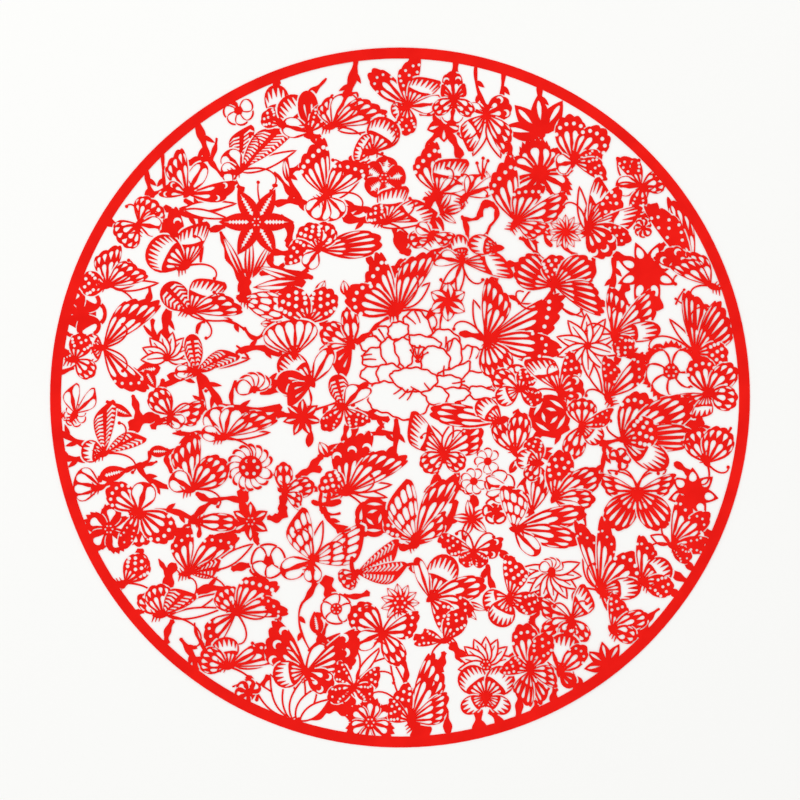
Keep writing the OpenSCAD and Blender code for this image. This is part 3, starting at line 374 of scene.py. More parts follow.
    [116, -119, 119, -117, 124, -117, 4, 6], [84, -138, 88, -142, 91, -149, 6, 6],
    [60, -150, 60, -154, 59, -163, 3, 4], [69, -150, 69, -154, 67, -160, 3, 4],
    [72, -128, 76, -130, 78, -122, 4, 2], [78, -146, 76, -150, 78, -156, 3, 4],
    [71, -104, 68, -106, 66, -112, 4, 4], [66, -112, 68, -118, 70, -122, 4, 3],
    [55, -130, 60, -128, 63, -130, 3, 4], [150, -60, 152, -66, 156, -70, 3, 4],
    [-138, 84, -142, 86, -150, 90, 3, 4], [-99, 83, -94, 84, -88, 86, 3, 3],
    [-77, 60, -77, 57, -77, 52, 4, 4], [-24, -22, -23, -18, -22, -12, 3, 3],
    [-37, -47, -42, -46, -47, -45, 3, 3], [97, 49, 101, 47, 105, 46, 3, 3],
    [62, 66, 58, 67, 54, 67, 3, 3], [-22, 115, -19, 117, -15, 118, 3, 3],
    [-25, 119, -22, 121, -18, 122, 3, 3], [-91, -35, -88, -35, -84, -35, 3, 3],
    [-102, -48, -97, -52, -92, -52, 3, 3], [6, 166, 6, 170, 6, 174, 4, 4],
    [-1, 138, -3, 135, -6, 132, 3, 3], [88, 119, 83, 119, 78, 118, 3, 3], [48, 63, 48, 60, 48, 56, 3, 3],
    [47, 71, 48, 74, 46, 76, 3, 3], [-95, -11, -98, -8, -101, -6, 3, 3],
    [-68, -11, -64, -9, -58, -8, 3, 3], [-18, 75, -16, 71, -14, 66, 3, 3],
    [-40, 82, -38, 87, -37, 92, 3, 3], [-52, 72, -57, 72, -63, 73, 3, 3],
    [94, -21, 98, -23, 104, -23, 3, 3], [147, -20, 147, -16, 148, -10, 4, 4],
    [-126, -105, -130, -107, -136, -110, 4, 4], [-76, -43, -77, -47, -78, -52, 3, 3],
    [-66, -36, -62, -38, -58, -39, 3, 3], [134, 78, 131, 76, 128, 73, 3, 3],
    [-118, 0, -119, 4, -119, 9, 3, 3], [31, -77, 32, -72, 33, -65, 3, 3], [18, 45, 14, 41, 11, 36, 3, 3],
    [-58, -48, -59, -55, -60, -60, 3, 3], [-28, -109, -24, -110, -19, -111, 3, 3],
    [-37, -108, -40, -109, -43, -110, 3, 3], [47, 106, 50, 108, 54, 109, 3, 3],
    [-158, -49, -162, -50, -167, -52, 4, 4], [-130, 13, -133, 13, -137, 14, 3, 3],
    [-152, -42, -150, -40, -147, -39, 3, 3], [-71, 7, -64, 8, -56, 8, 3, 3],
    [21, 92, 20, 97, 19, 104, 3, 3], [-41, -118, -39, -121, -36, -124, 3, 3],
    [-117, -27, -114, -27, -110, -28, 3, 3], [-37, -28, -34, -28, -30, -28, 3, 3],
    [-57, 112, -53, 115, -48, 116, 3, 3], [-49, -158, -52, -164, -53, -169, 5, 6],
]

# thin closed loops: x, y, turn, length, width
loops = [
    [-79, 113, 22, 29, 6], [-108, 95, 5, 26, 5], [-108, 94, -11, 22, 4], [-144, 55, 6, 23, 5],
    [-144, 55, 21, 18, 5], [-31, 135, 16, 24, 6], [-31, 134, 6, 24, 5], [-35, 99, 40, 23, 6],
    [-106, 42, -8, 22, 4], [-100, 16, 8, 25, 5], [-10, 86, 5, 24, 4], [43, 138, 249, 18, 6],
    [44, 138, -70, 19, 6], [115, 108, 117, 13, 5], [93, 84, 98, 22, 5], [94, 84, 78, 22, 6],
    [76, 55, 207, 17, 8], [76, 55, -42, 22, 8], [43, 30, 108, 20, 6], [2, 45, 44, 18, 6],
    [31, 67, 232, 18, 5], [31, 67, 262, 16, 4], [93, 20, -65, 20, 5], [-89, -20, 6, 24, 4],
    [-89, -19, 18, 25, 4], [-100, -45, 38, 18, 4], [-95, -88, 50, 19, 6], [-93, -86, 33, 23, 6],
    [-116, -110, 25, 28, 6], [-116, -110, 9, 27, 5], [-82, -135, 11, 22, 5], [-45, -80, 98, 20, 5],
    [-44, -80, 74, 19, 5], [-22, -141, 33, 20, 5], [-22, -141, 52, 20, 4], [119, -45, 150, 17, 6],
    [119, -45, 31, 17, 6], [98, -95, 113, 16, 5], [135, -73, 158, 10, 5], [5, -158, 110, 30, 5],
    [22, -26, 120, 14, 5], [22, -26, 72, 14, 5], [-26, -46, -12, 20, 4], [-26, -46, 6, 22, 5],
    [148, 24, 130, 20, 4], [-57, -160, 134, 25, 7], [-56, -160, 113, 23, 7], [-55, -161, 93, 23, 7],
    [-54, -161, 74, 21, 7], [-52, -161, 56, 19, 7], [-50, -162, 36, 18, 6],
]
print(len(stems), "stems and", len(loops), "loops")

# %% [markdown]
# ## The pattern: the peony
# The peony in the middle is all thin lines, petal over petal, with stamens and a few veins. Its petals
# have no shape in common, so each is a short list of corners, which a smooth curve joins further down.

# %% Petals of the peony, from the back to the front
peony = [
    [[2, 40], [8, 44], [13, 40], [16, 32], [9, 29], [3, 33]],
    [[-14, 33], [-8, 36], [-5, 32], [-7, 27], [-12, 28]],
    [[-5, 36], [-1, 38], [4, 36], [3, 31], [-3, 29], [-6, 32]],
    [[17, 33], [24, 34], [30, 29], [29, 21], [20, 21], [15, 26]],
    [[30, 22], [34, 26], [40, 24], [45, 20], [48, 15], [44, 11], [34, 12], [29, 16]],
    [[30, 12], [37, 13], [46, 11], [46, 6], [40, 4], [32, 6], [28, 9]],
    [[35, 5], [43, 5], [49, 1], [43, -1], [36, 0]],
    [[-20, 27], [-14, 31], [-10, 28], [-11, 24], [-17, 23]],
    [[-19, 18], [-16, 24], [-9, 25], [-5, 20], [-8, 15], [-15, 15]],
    [[-20, 11], [-17, 15], [-10, 15], [-8, 9], [-14, 7]],
    [[-10, 25], [-6, 30], [-2, 27], [0, 20], [-2, 14], [-7, 17]],
    [[-3, 27], [2, 30], [6, 26], [6, 18], [2, 15], [-1, 20]],
    [[5, 31], [12, 31], [20, 28], [19, 24], [12, 25], [6, 26]],
    [[24, 27], [29, 29], [31, 20], [27, 13], [24, 18]],
    [[13, 25], [20, 25], [25, 20], [23, 13], [16, 10], [11, 14], [11, 20]],
    [[19, 12], [27, 15], [35, 18], [33, 11], [26, 8]],
    [[-11, 15], [-4, 17], [1, 13], [0, 8], [-6, 7], [-11, 9]],
    [[17, 10], [26, 11], [31, 8], [27, 3], [18, 4]],
    [[20, 3], [28, 5], [35, 3], [32, -1], [24, -3]],
    [[11, 4], [18, 6], [24, 2], [22, -3], [14, -3], [10, 0]],
    [[-5, 11], [0, 14], [8, 15], [15, 13], [19, 9], [15, 4], [7, 2], [0, 4]],
    [[-15, 5], [-9, 8], [-3, 7], [3, 3], [9, 3], [13, 0], [14, -5], [9, -10], [1, -11], [-6, -8],
     [-13, -6], [-16, -1]],
]
print(len(peony), "petals")

# %% Stamens, and veins of the petals
# x, y, turn, length, radius of the knob
hairs = [
    [42, 111, 75, 8, 0.9], [42, 111, 92, 9, 0.9], [41, 111, 110, 7, 0.9], [-70, 97, 96, 11, 0.9],
    [-68, 97, 58, 11, 0.9], [-67, 96, 75, 8, 0.7], [-12, 114, 70, 9, 0.8], [-10, 114, 100, 9, 0.8],
    [146, 45, 150, 9, 0.7], [139, 48, 60, 7, 0.7], [9, 19, 60, 6, 0.6], [9, 19, 82, 7, 0.6],
    [9, 19, 104, 7, 0.6], [9, 19, 128, 6, 0.6], [9, 19, 36, 6, 0.6], [0, 4, 215, 4, 0], [3, 3, 225, 5, 0],
    [6, 3, 240, 5, 0], [8, 4, 150, 3, 0], [11, 5, 140, 4, 0], [14, 5, 128, 3, 0], [-9, -5, 30, 6, 0],
    [22, 12, 88, 4, 0], [8, 42, -65, 5, 0], [4, 40, -40, 5, 0], [40, 23, 240, 4, 0], [36, 24, 255, 5, 0],
    [44, 18, 200, 4, 0], [46, 14, 185, 4, 0], [-18, 21, 10, 4, 0], [-17, 19, 0, 5, 0],
    [-10, 33, -60, 5, 0], [-12, 30, -40, 4, 0], [26, 28, 250, 5, 0], [23, 29, 265, 4, 0],
    [31, 8, 190, 5, 0], [44, 8, 175, 5, 0], [28, 2, 150, 4, 0], [-50, 25, 75, 9, 0], [-53, 25, 95, 11, 0],
    [-56, 25, 112, 8, 0], [-84, -16, 60, 9, 0], [-86, -15, 80, 9, 0],
]
print(len(hairs), "stamens and veins")

# %% [markdown]
# ## From pattern to outlines
# A wing is a map: u runs from -1 to 1 across it and v from 0 at the root to 1 at the edge. Every slit,
# bead and tooth is drawn on that map, so it follows the wing however long, broad or turned the wing is.
# Drawing it by hand in edit mode would mean thousands of knife strokes; a map needs one rule for each cut.

# %% Maps of a wing and a leaf
WING_DROP = 0.42
WING_FULL = 1.15
TIP_ASIDE = 0.5
SHARP_TIP = 1.25
ROUND_TIP = 2
LEAF_BELLY = 0.8
LEAF_FULL = 0.9


def place(x, y, turn, along, across):
    c, s = cos(radians(turn)), sin(radians(turn))
    return (x + along * c - across * s, y + along * s + across * c)


def wing(x, y, turn, length, width, lean=0):
    tip = TIP_ASIDE * lean

    def at(u, v):
        fall = WING_DROP * (abs(u - tip) / (1 + abs(tip))) ** (SHARP_TIP if lean else ROUND_TIP)
        half = sin(radians(90 * min(v, 1))) * WING_FULL * width / 2
        return place(x, y, turn, v * length * (1 - fall), half * sin(radians(90 * u)))
    return at


def leaf(x, y, turn, length, width):
    def at(u, v):
        return place(x, y, turn, v * length, u * width / 2 * max(0, sin(pi * v ** LEAF_BELLY)) ** LEAF_FULL)
    return at


print("corner of a wing 20 mm long: %.1f, %.1f" % wing(0, 0, 0, 20, 12)(1, 1))

# %% Outlines of a wing, a leaf and a dot
SCALLOP = 0.06
TOOTH = 0.14


def wing_edge(at, scallops=0, teeth=0):
    side = [at(1, i / 5) for i in range(6)]
    back = [at(-1, i / 5) for i in range(5, 0, -1)]
    steps = 2 * teeth or max(12, 5 * scallops)
    rim = []
    for i in range(1, steps):
        wave = abs(sin(pi * scallops * i / steps)) * SCALLOP
        tooth = TOOTH * (i % 2) if teeth else 0
        rim.append(at(1 - 2 * i / steps, 1 + wave + tooth))
    return side + rim + back


def leaf_edge(at, steps=9):
    side = [at(1, i / steps) for i in range(steps + 1)]
    return side + [at(-1, i / steps) for i in range(steps - 1, 0, -1)]


def dot(middle, r, steps=10):
    turns = [2 * pi * i / steps for i in range(steps)]
    return [(middle[0] + r * cos(a), middle[1] + r * sin(a)) for a in turns]


print("a plain wing has", len(wing_edge(wing(0, 0, 0, 20, 12))), "corners")

# %% Outline of a stroke, and a bend to draw it along
NOSE = 0.6
KNOT_TURNS = 10


def stroke(path, w0, w1, knots=0):
    left, right = [], []
    last = len(path) - 1
    for i, p in enumerate(path):
        a, b = path[max(0, i - 1)], path[min(last, i + 1)]
        turn = degrees(atan2(b[1] - a[1], b[0] - a[0]))
        half = (w0 + (w1 - w0) * i / last) / 2 * (1 + knots * sin(KNOT_TURNS * i / last + path[0][0]))
        left.append(place(*p, turn, 0, half))
        right.append(place(*p, turn, 0, -half))
        if i == 0:
            nose = place(*p, turn, -NOSE * half, 0)
        tail = place(*p, turn, NOSE * half, 0)
    return left + [tail] + right[::-1] + [nose]


def bend(p0, p1, p2, steps=12):
    path = []
    for i in range(steps + 1):
        t = i / steps
        path.append(tuple((1 - t) ** 2 * a + 2 * t * (1 - t) * b + t * t * c for a, b, c in zip(p0, p1, p2)))
    return path


print("a stroke along a bend has", len(stroke(bend((0, 0), (5, 5), (10, 0)), 2, 1)), "corners")

# %% [markdown]
# ## What the knife takes out
# Inside a wing the knife keeps a rim and a root, and takes out slits, beads, combs, cells, moons or barbs.
# With boolean modifiers each would need a cutter of its own; on the map, a cut is one small outline. The
# numbers are shares of the wing: how far across it reaches, where it starts and ends, how full it is.

# %% Slits, beads and lines along the edge
CLUB = ((0.6, 0.42), (0.96, 0.7), (0.92, 0.87), (0.52, 0.97))
EDGES = ((1, 0.35, 1, 0.9), (-1, 0.35, -1, 0.9), (0.85, 1.02, 0.3, 1.02), (-0.85, 1.02, -0.3, 1.02))


def spread(n, reach):
    return [reach * (2 * i + 1 - n) / n for i in range(n)]


def slit(at, u, v0, v1, half):
    right = [at(u + a * half, v0 + b * (v1 - v0)) for a, b in CLUB]
    left = [at(u - a * half, v0 + b * (v1 - v0)) for a, b in reversed(CLUB)]
    return [at(u, v0)] + right + [at(u, v1)] + left


def fan(at, n, reach, v0, v1, fill):
    return [slit(at, u, v0, v1, fill * reach / n) for u in spread(n, reach)]


def beads(at, n, reach, v, r):
    return [dot(at(u, v), r) for u in spread(n, reach)]


def edge_lines(at, width):
    lines = []
    for u0, v0, u1, v1 in EDGES:
        path = [at(u0 + (u1 - u0) * i / 4, v0 + (v1 - v0) * i / 4) for i in range(5)]
        lines.append(stroke(path, width, width))
    return lines


print("a slit has", len(slit(wing(0, 0, 0, 20, 12), 0, 0.2, 0.8, 0.2)), "corners")

# %% Combs, cells, moons and barbs
CELL = ((-1, 0.2), (-0.6, 0), (0.6, 0), (1, 0.2), (1, 0.75), (0.5, 1), (-0.5, 1), (-1, 0.75))
COMB_TOOTH = ((0.05, 0.42), (0.38, 1), (0.62, 1), (0.95, 0.42))
COMB_BOW = 0.3
COMB_FALL = 0.12
MOON_THIN = 0.62
MOON_TALL = 0.72
MOON_ASIDE = 0.35


def comb(at, reach, v0, v1, teeth):
    inner = [at(reach * (1 - i / 5), v0 + COMB_BOW * (v1 - v0) * (1 - i / 5) ** 2) for i in range(11)]
    outer = []
    for i in range(teeth):
        for part, v in COMB_TOOTH:
            u = 2 * (i + part) / teeth - 1
            outer.append(at(reach * u, v0 + (v1 - v0) * (v - COMB_FALL * u * u)))
    return inner + outer


def moon(at, u, v, r, turn):
    middle = at(u, v)
    outer = [place(*middle, turn, r * cos(radians(a)), r * sin(radians(a))) for a in range(-110, 111, 22)]
    inner = []
    for a in range(88, -89, -22):
        along = r * (MOON_THIN * cos(radians(a)) - MOON_ASIDE)
        inner.append(place(*middle, turn, along, MOON_TALL * r * sin(radians(a))))
    return outer + inner


def cell(at, u, half, v0, v1):
    return [at(u + a * half, v0 + b * (v1 - v0)) for a, b in CELL]


def barb(at, side, v, tall):
    corners = ((0.12, 0), (0.45, 0.035 + 0.2 * tall), (0.78, 0.08), (0.84, 0.08 + 0.6 * tall),
               (0.45, 0.045 + tall), (0.12, 0.8 * tall))
    return [at(side * u, v + dv) for u, dv in corners]


print("a comb of seven teeth has", len(comb(wing(0, 0, 0, 20, 12), 0.84, 0.52, 0.92, 7)), "corners")

# %% The ways a wing is cut
TWO_SLITS, LONG_SLITS, BEADED, COMBED, CELLS, MOONS, VEINS, FEATHER, SPOTS, FRINGE = range(10)
SLIT_STEP = 3.2


def wing_cuts(at, way, length, width, turn):
    n = max(2, round(width / SLIT_STEP))
    if way == TWO_SLITS:
        return fan(at, 2, 0.55, 0.35, 0.7, 0.28)
    if way == LONG_SLITS:
        return fan(at, n, 0.85, 0.16, 0.64, 0.68) + fan(at, n + 2, 0.93, 0.7, 0.93, 0.66)
    if way == BEADED:
        return fan(at, n, 0.85, 0.18, 0.7, 0.66) + beads(at, n + 2, 0.93, 0.85, min(1.1, 0.075 * width))
    if way == COMBED:
        return [comb(at, 0.84, 0.52, 0.92, max(5, round(width / 1.7)))] + fan(at, 4, 0.74, 0.14, 0.46, 0.62)
    if way == CELLS:
        cuts = []
        for v0, v1, m in ((0.14, 0.36, n - 1), (0.41, 0.64, n), (0.69, 0.91, n + 1)):
            m = max(2, m)
            cuts += [cell(at, u, 0.72 / m, v0, v1) for u in spread(m, 0.92)]
        return cuts
    if way == MOONS:
        m = max(2, round(width / 5))
        cuts = [moon(at, u, 0.78, min(2.4, 0.17 * width), turn + 30 * u) for u in spread(m, 0.85)]
        return cuts + fan(at, max(2, n - 1), 0.7, 0.16, 0.58, 0.55)
    if way == VEINS:
        return fan(at, max(2, n - 1), 0.93, 0.12, 0.95, 0.84)
    if way == FEATHER:
        m = max(4, round(length / 3))
        return [barb(at, side, 0.14 + 0.76 * i / m, 0.46 / m) for i in range(m) for side in (1, -1)]
    if way == SPOTS:
        cuts = fan(at, n, 0.8, 0.14, 0.42, 0.5)
        for i, v in enumerate((0.54, 0.7, 0.86)):
            cuts += beads(at, max(2, n - 1 + i), 0.86, v, min(1.2, 0.08 * width))
        return cuts
    return fan(at, n + 2, 0.92, 0.5, 0.93, 0.5) + fan(at, n, 0.8, 0.16, 0.45, 0.5)


print("cuts in a wing 12 mm wide:", [len(wing_cuts(wing(0, 0, 0, 20, 12), w, 20, 12, 0)) for w in range(10)])

# %% The ways a petal or leaf is cut
ONE_SLIT, RIB, OVAL, OPENED, THREE_SLITS = 1, 3, 5, 6, 10
RIB_TEETH = 6
OVAL_SIDES = 12
ARC_STEPS = 8


def open_cell(at, reach, v0, v1):
    right = [at(reach, v0 + (v1 - v0) * i / 4) for i in range(5)]
    rim = [at(reach * (1 - i / 3), v1) for i in range(1, 6)]
    left = [at(-reach, v1 - (v1 - v0) * i / 4) for i in range(5)]
    return right + rim + left


def crescent(x, y, turn, r, width, span):
    steps = [i / ARC_STEPS for i in range(ARC_STEPS + 1)]
    outer = [place(x, y, turn + span * (t - 0.5), r, 0) for t in steps]
    inner = [place(x, y, turn + span * (t - 0.5), r - width * sin(pi * t), 0) for t in steps]
    return outer + inner[-2:0:-1]


def toothed_rib(at):
    half = []
    for i in range(RIB_TEETH):
        v = 0.28 + 0.5 * i / RIB_TEETH
        half += [(0.28, v), (0.08, v + 0.25 / RIB_TEETH)]
    back = [at(-u, v) for u, v in reversed(half)]
    return [at(0, 0.2)] + [at(u, v) for u, v in half] + [at(0, 0.86)] + back


def petal_cuts(at, way, pointed):
    if way == ONE_SLIT:
        return fan(at, 1, 0.8, 0.3, 0.85, 0.4)
    if way == RIB:
        return [toothed_rib(at)]
    if way == OVAL:
        middle, wide, long = (0.64, 0.62, 0.19) if pointed else (0.72, 0.5, 0.14)
        turns = [2 * pi * i / OVAL_SIDES for i in range(OVAL_SIDES)]
        return [[at(wide * cos(a), middle + long * sin(a)) for a in turns]]
    if way == OPENED and pointed:
        return fan(at, 2, 0.86, 0.2, 0.92, 0.86)
    if way == OPENED:
        return [open_cell(at, 0.74, 0.34, 0.88)]
    if way == THREE_SLITS:
        return fan(at, 3, 0.9, 0.25, 0.8, 0.7)
    return []


print("a toothed rib has", len(toothed_rib(leaf(0, 0, 0, 13, 8))), "corners")

# %% [markdown]
# ## Lines round an opening
# Peony, loops and outlined petals are thin lines. A petal of the peony is a smooth closed curve through a
# few corners, with a small ruffle along it, like the crumpled edge of the real flower. The line is what is
# left between the curve moved outwards, which is paper, and the curve moved inwards, which is cut away.

# %% Closed curves
def smooth_loop(corners, steps):
    count = len(corners)
    path = []
    for i in range(count):
        a, b, c, d = (corners[(i + k - 1) % count] for k in range(4))
        for j in range(steps):
            t = j / steps
            path.append(tuple(0.5 * (2 * q + (r - p) * t + (2 * p - 5 * q + 4 * r - s) * t * t
                                     + (3 * q - p - 3 * r + s) * t ** 3) for p, q, r, s in zip(a, b, c, d)))
    return path[steps // 2:] + path[:steps // 2]


def shifted(path, out):
    count = len(path)
    twice = sum(path[i - 1][0] * path[i][1] - path[i][0] * path[i - 1][1] for i in range(count))
    sign = 1 if twice > 0 else -1
    moved = []
    for i in range(count):
        a, b = path[i - 1], path[(i + 1) % count]
        size = hypot(b[0] - a[0], b[1] - a[1]) or 1
        step = sign * (out(i) if callable(out) else out) / size
        moved.append((path[i][0] + (b[1] - a[1]) * step, path[i][1] - (b[0] - a[0]) * step))
    return moved


print("the front petal has", len(smooth_loop(peony[-1], steps=8)), "corners")

# %% [markdown]
# ## Laying the motifs one over another
# The drawing is a pile, as a cutter thinks of it: paper, then what is cut from it, then the next motif on
# top. It is kept as a list of outlines, each marked as paper or cut, from the bottom to the top. The
# bottom one is the empty round of the sheet. Stems have small knots and, where they are long, two sprigs.

# %% Draw stems and loops
LINE_W = 0.9
RIM_SIDES = 360
KNOTTY = 0.28
SPRIG_FROM = 14
SPRIGS = ((4, 1), (8, -1))
SPRIG_TURN = 42
SPRIG_L = 4
SPRIG_W = 2.4
pile = []


def paper(outline):
    pile.append((True, outline))


def cut(outlines):
    pile.extend((False, outline) for outline in outlines)


def line_round(edge):
    paper(shifted(edge, LINE_W / 2))
    cut([shifted(edge, -LINE_W / 2)])


RIM_R = SHEET_R * LAYOUT_R / FIELD_R
cut([dot((0, 0), RIM_R, RIM_SIDES)])
for x0, y0, x1, y1, x2, y2, w0, w1 in stems:
    path = bend((x0, y0), (x1, y1), (x2, y2))
    paper(stroke(path, w0, w1, KNOTTY))
    if hypot(x2 - x0, y2 - y0) > SPRIG_FROM:
        for i, side in SPRIGS:
            turn = degrees(atan2(path[i + 1][1] - path[i][1], path[i + 1][0] - path[i][0]))
            paper(leaf_edge(leaf(*path[i], turn + SPRIG_TURN * side, SPRIG_L + w0, SPRIG_W), steps=6))
for row in loops:
    line_round(leaf_edge(leaf(*row), steps=14))
print("stems and loops:", len(pile), "outlines")

# %% Draw the peony
RUFFLE = 0.3
RUFFLE_STEP = 1.05
HAIR_ROOT = 1.5
HAIR_BOW = 10
HAIR_W = (1, 0.6)
for number, corners in enumerate(peony):
    edge = smooth_loop(corners, steps=8)
    line_round(shifted(edge, lambda i: RUFFLE * sin(RUFFLE_STEP * i + number)))
for x, y, turn, length, knob in hairs:
    tip = place(x, y, turn, length, 0)
    root = place(x, y, turn, -HAIR_ROOT, 0)
    middle = place(x, y, turn + HAIR_BOW, 0.6 * length, 0)
    paper(stroke(bend(root, middle, tip, steps=7), *HAIR_W))
    if knob:
        paper(dot(tip, knob))
print("with the peony and the stamens:", len(pile), "outlines")

# %% Draw the leaves
for x, y, turn, length, width, way in leaves:
    at = leaf(x, y, turn, length, width)
    paper(leaf_edge(at))
    cut(petal_cuts(at, way, True))
print("with the leaves:", len(pile), "outlines")

# %% Draw the flowers
POINTED, PINKED, ROSE, OUTLINED = 1, 2, 3, 4
PETAL_GAP = 1
PINK_STEP = 1.6
ROSE_ROUNDS = ((0.74, 4), (0.38, 3))
ROSE_SLIT = 0.16
ROSE_SPAN = 260
ROSE_TWIST = 200
MIDRIB_W = (0.9, 0.5)
BEADED_HEART = 3
HEART_BEADS = 6
BEAD_RING = 0.6
BEAD_R = 0.16


def petal(at, width, kind, way):
    if kind == ROSE:
        paper(wing_edge(at))
        return
    if kind == POINTED:
        paper(leaf_edge(at))
    elif kind == OUTLINED:
        line_round(leaf_edge(at, steps=12))
        paper(stroke([at(0, 0.1), at(0, 0.75)], *MIDRIB_W))
    else:
        cut(edge_lines(at, PETAL_GAP))
        paper(wing_edge(at, teeth=round(width / PINK_STEP) if kind == PINKED else 0))
    cut(petal_cuts(at, way, kind == POINTED))


for x, y, radius, count, first, sweep, width, kind, way, heart in flowers:
    step = sweep / count if sweep == 360 else sweep / (count - 1)
    shape = leaf if kind in (POINTED, OUTLINED) else wing
    for i in range(count):
        petal(shape(x, y, first + step * i, radius, width), width, kind, way)
    if kind == ROSE:
        for share, arcs in ROSE_ROUNDS:
            for i in range(arcs):
                turn = first + 360 * i / arcs + ROSE_TWIST * share
                cut([crescent(x, y, turn, share * radius, ROSE_SLIT * radius, ROSE_SPAN / arcs)])
    else:
        paper(dot((x, y), heart, steps=16))
        if heart >= BEADED_HEART and way != OVAL:
            turns = [360 * i / HEART_BEADS for i in range(HEART_BEADS)]
            cut([dot(place(x, y, turn, BEAD_RING * heart, 0), BEAD_R * heart) for turn in turns])
print("with the flowers:", len(pile), "outlines")

# %% [markdown]
# ## Butterflies on top
# A narrow cut along the sides of each wing sets it off from what lies under it. Then come the wing and its
# slits, the body, curled feelers and short legs. A feeler is a walk in small steps that turns more and
# more. Ties hold what those cuts would set loose, and the ring goes on last, over all the ends.

# %% Draw the butterflies
BOW = 40
CURL = 480
FEELER_STEPS = 16
FEELER_TURN = 9
FEELER_W = (1.1, 0.7)
FEELER_KNOB = 0.9
FORE_WING = 1.5
FORE_SIDE = -0.3
GAP_W = 1.3
SCALLOP_W = 2.8
SCALLOPED = (LONG_SLITS, BEADED, MOONS, SPOTS, FRINGE)
HEAD = 2.5
BODY_L = 8
BODY_W = 3.4
LEGS = 3
LEG_W = (1.2, 0.3)
LEG_OUT = 3.2


def feeler(x, y, turn, length, side):
    path = []
    for i in range(FEELER_STEPS + 1):
        path.append((x, y))
        turn += side * (BOW + CURL * (i / FEELER_STEPS) ** 3) / FEELER_STEPS
        x, y = place(x, y, turn, length / FEELER_STEPS, 0)
    return path


for x, y, heading, feeler_l, wings in butterflies:
    for turn, length, width, way, *leans in wings:
        lean = leans[0] if leans else 0
        aside = radians(turn - heading)
        if length > FORE_WING * width and cos(aside) > FORE_SIDE:
            lean = -1 if sin(aside) > 0 else 1
        at = wing(x, y, turn, length, width, lean)
        cut(edge_lines(at, GAP_W))
        paper(wing_edge(at, round(width / SCALLOP_W) if way in SCALLOPED else 0))
        cut(wing_cuts(at, way, length, width, turn))
    paper(leaf_edge(leaf(*place(x, y, heading, HEAD, 0), heading + 180, BODY_L, BODY_W)))
    for side in (1, -1):
        if feeler_l:
            path = feeler(x, y, heading + FEELER_TURN * side, feeler_l, side)
            paper(stroke(path, *FEELER_W))
            paper(dot(path[-1], FEELER_KNOB))
        for i in range(LEGS):
            hip = place(x, y, heading + 180, 1 + 1.6 * i, 0)
            foot = place(x, y, heading + 180, 2.2 + 1.8 * i, LEG_OUT * side)
            paper(stroke([hip, foot], *LEG_W))
print("with the butterflies:", len(pile), "outlines")

# %% Draw the ties and the ring
# ties have the same columns as stems; the ring is laid as two halves
ties = [
    [-23, -88, -25, -85, -24, -80, 2.4, 1.8], [-3, -72.5, 0, -74, 3, -75.5, 1.6, 2],
    [2, -84.5, 6, -83, 9, -83.5, 1.6, 1.6], [128, -20, 130, -20, 132, -20, 1.6, 1.6],
    [141, -22.5, 143, -22.5, 145, -22, 1.6, 1.6], [-100, -122, -99, -125, -97, -128, 2, 2],
    [75.5, 53, 66, 38, 58.5, 49, 1.1, 0.9], [58.5, 49, 57, 55, 62, 53, 0.9, 0.7],
    [-38.5, -58, -41, -53, -39.5, -48, 2, 1.6], [-31, -67, -28, -67.5, -25, -66, 1.4, 1.2],
    [-36, -53, -36, -51, -35.5, -48, 2.4, 2], [42, 114.5, 41.5, 112, 41, 109.5, 1.8, 1.4],
]
for x0, y0, x1, y1, x2, y2, w0, w1 in ties:
    paper(stroke(bend((x0, y0), (x1, y1), (x2, y2)), w0, w1))
for first in (0, 180):
    turns = range(first, first + 181)
    outer = [place(0, 0, turn, RIM_R, 0) for turn in turns]
    paper(outer + [place(0, 0, turn, LAYOUT_R, 0) for turn in reversed(turns)])
print("whole pile:", len(pile), "outlines with", sum(len(o) for _, o in pile), "corners")

# %% [markdown]
# ## Cutting the sheet
# Boolean modifiers on thousands of flat pieces would be slow and fragile. A constrained triangulation
# takes all outlines at once, splits them where they cross and says which outlines lie over each triangle.
# The topmost one decides: paper stays, a cut is left out.

# %% Triangulate the pile
SCALE = FIELD_R / LAYOUT_R
INSIDE_ONLY = 1
SAME_SPOT = 1e-4


def area(outline):
    return sum(a[0] * b[1] - b[0] * a[1] for a, b in zip(outline[-1:] + outline[:-1], outline)) / 2


def triangulate(outlines):
    corners, faces = [], []
    for outline in outlines:
        order = list(range(len(corners), len(corners) + len(outline)))
        corners += [Vector(p) for p in outline]
        faces.append(order if area(outline) > 0 else order[::-1])
    points, _, triangles, _, _, over = delaunay_2d_cdt(corners, [], faces, INSIDE_ONLY, SAME_SPOT, True)
    return points, list(zip(triangles, over))


points, found = triangulate([outline for _, outline in pile])
kept = [t for t, over in found if 0 in over and pile[max(over)][0]]
print(len(found), "triangles in all,", len(kept), "of them paper")

# %% [markdown]
# ## Tidy edges
# Hidden outlines have left corners all along the visible edges. Limited Dissolve could take many of them
# out, but it goes by angle, and here it is the distance that counts. So the edges are walked once round
# each opening, and a corner that stands off the line between its neighbours by less than 0.04 mm is
# dropped, and so is any speck of an opening.

# %% Walk the cut edges
FLAT = 0.04
SPECK = 0.05
edges = set()
for a, b, c in kept:
    for p, q in ((a, b), (b, c), (c, a)):
        if (q, p) in edges:
            edges.remove((q, p))
        else:
            edges.add((p, q))
onward = {}
for p, q in sorted(edges):
    onward.setdefault(p, []).append(q)


def off_line(p, a, b):
    base = b - a
    return abs(base.cross(p - a)) / base.length if base.length > FLAT else (p - a).length


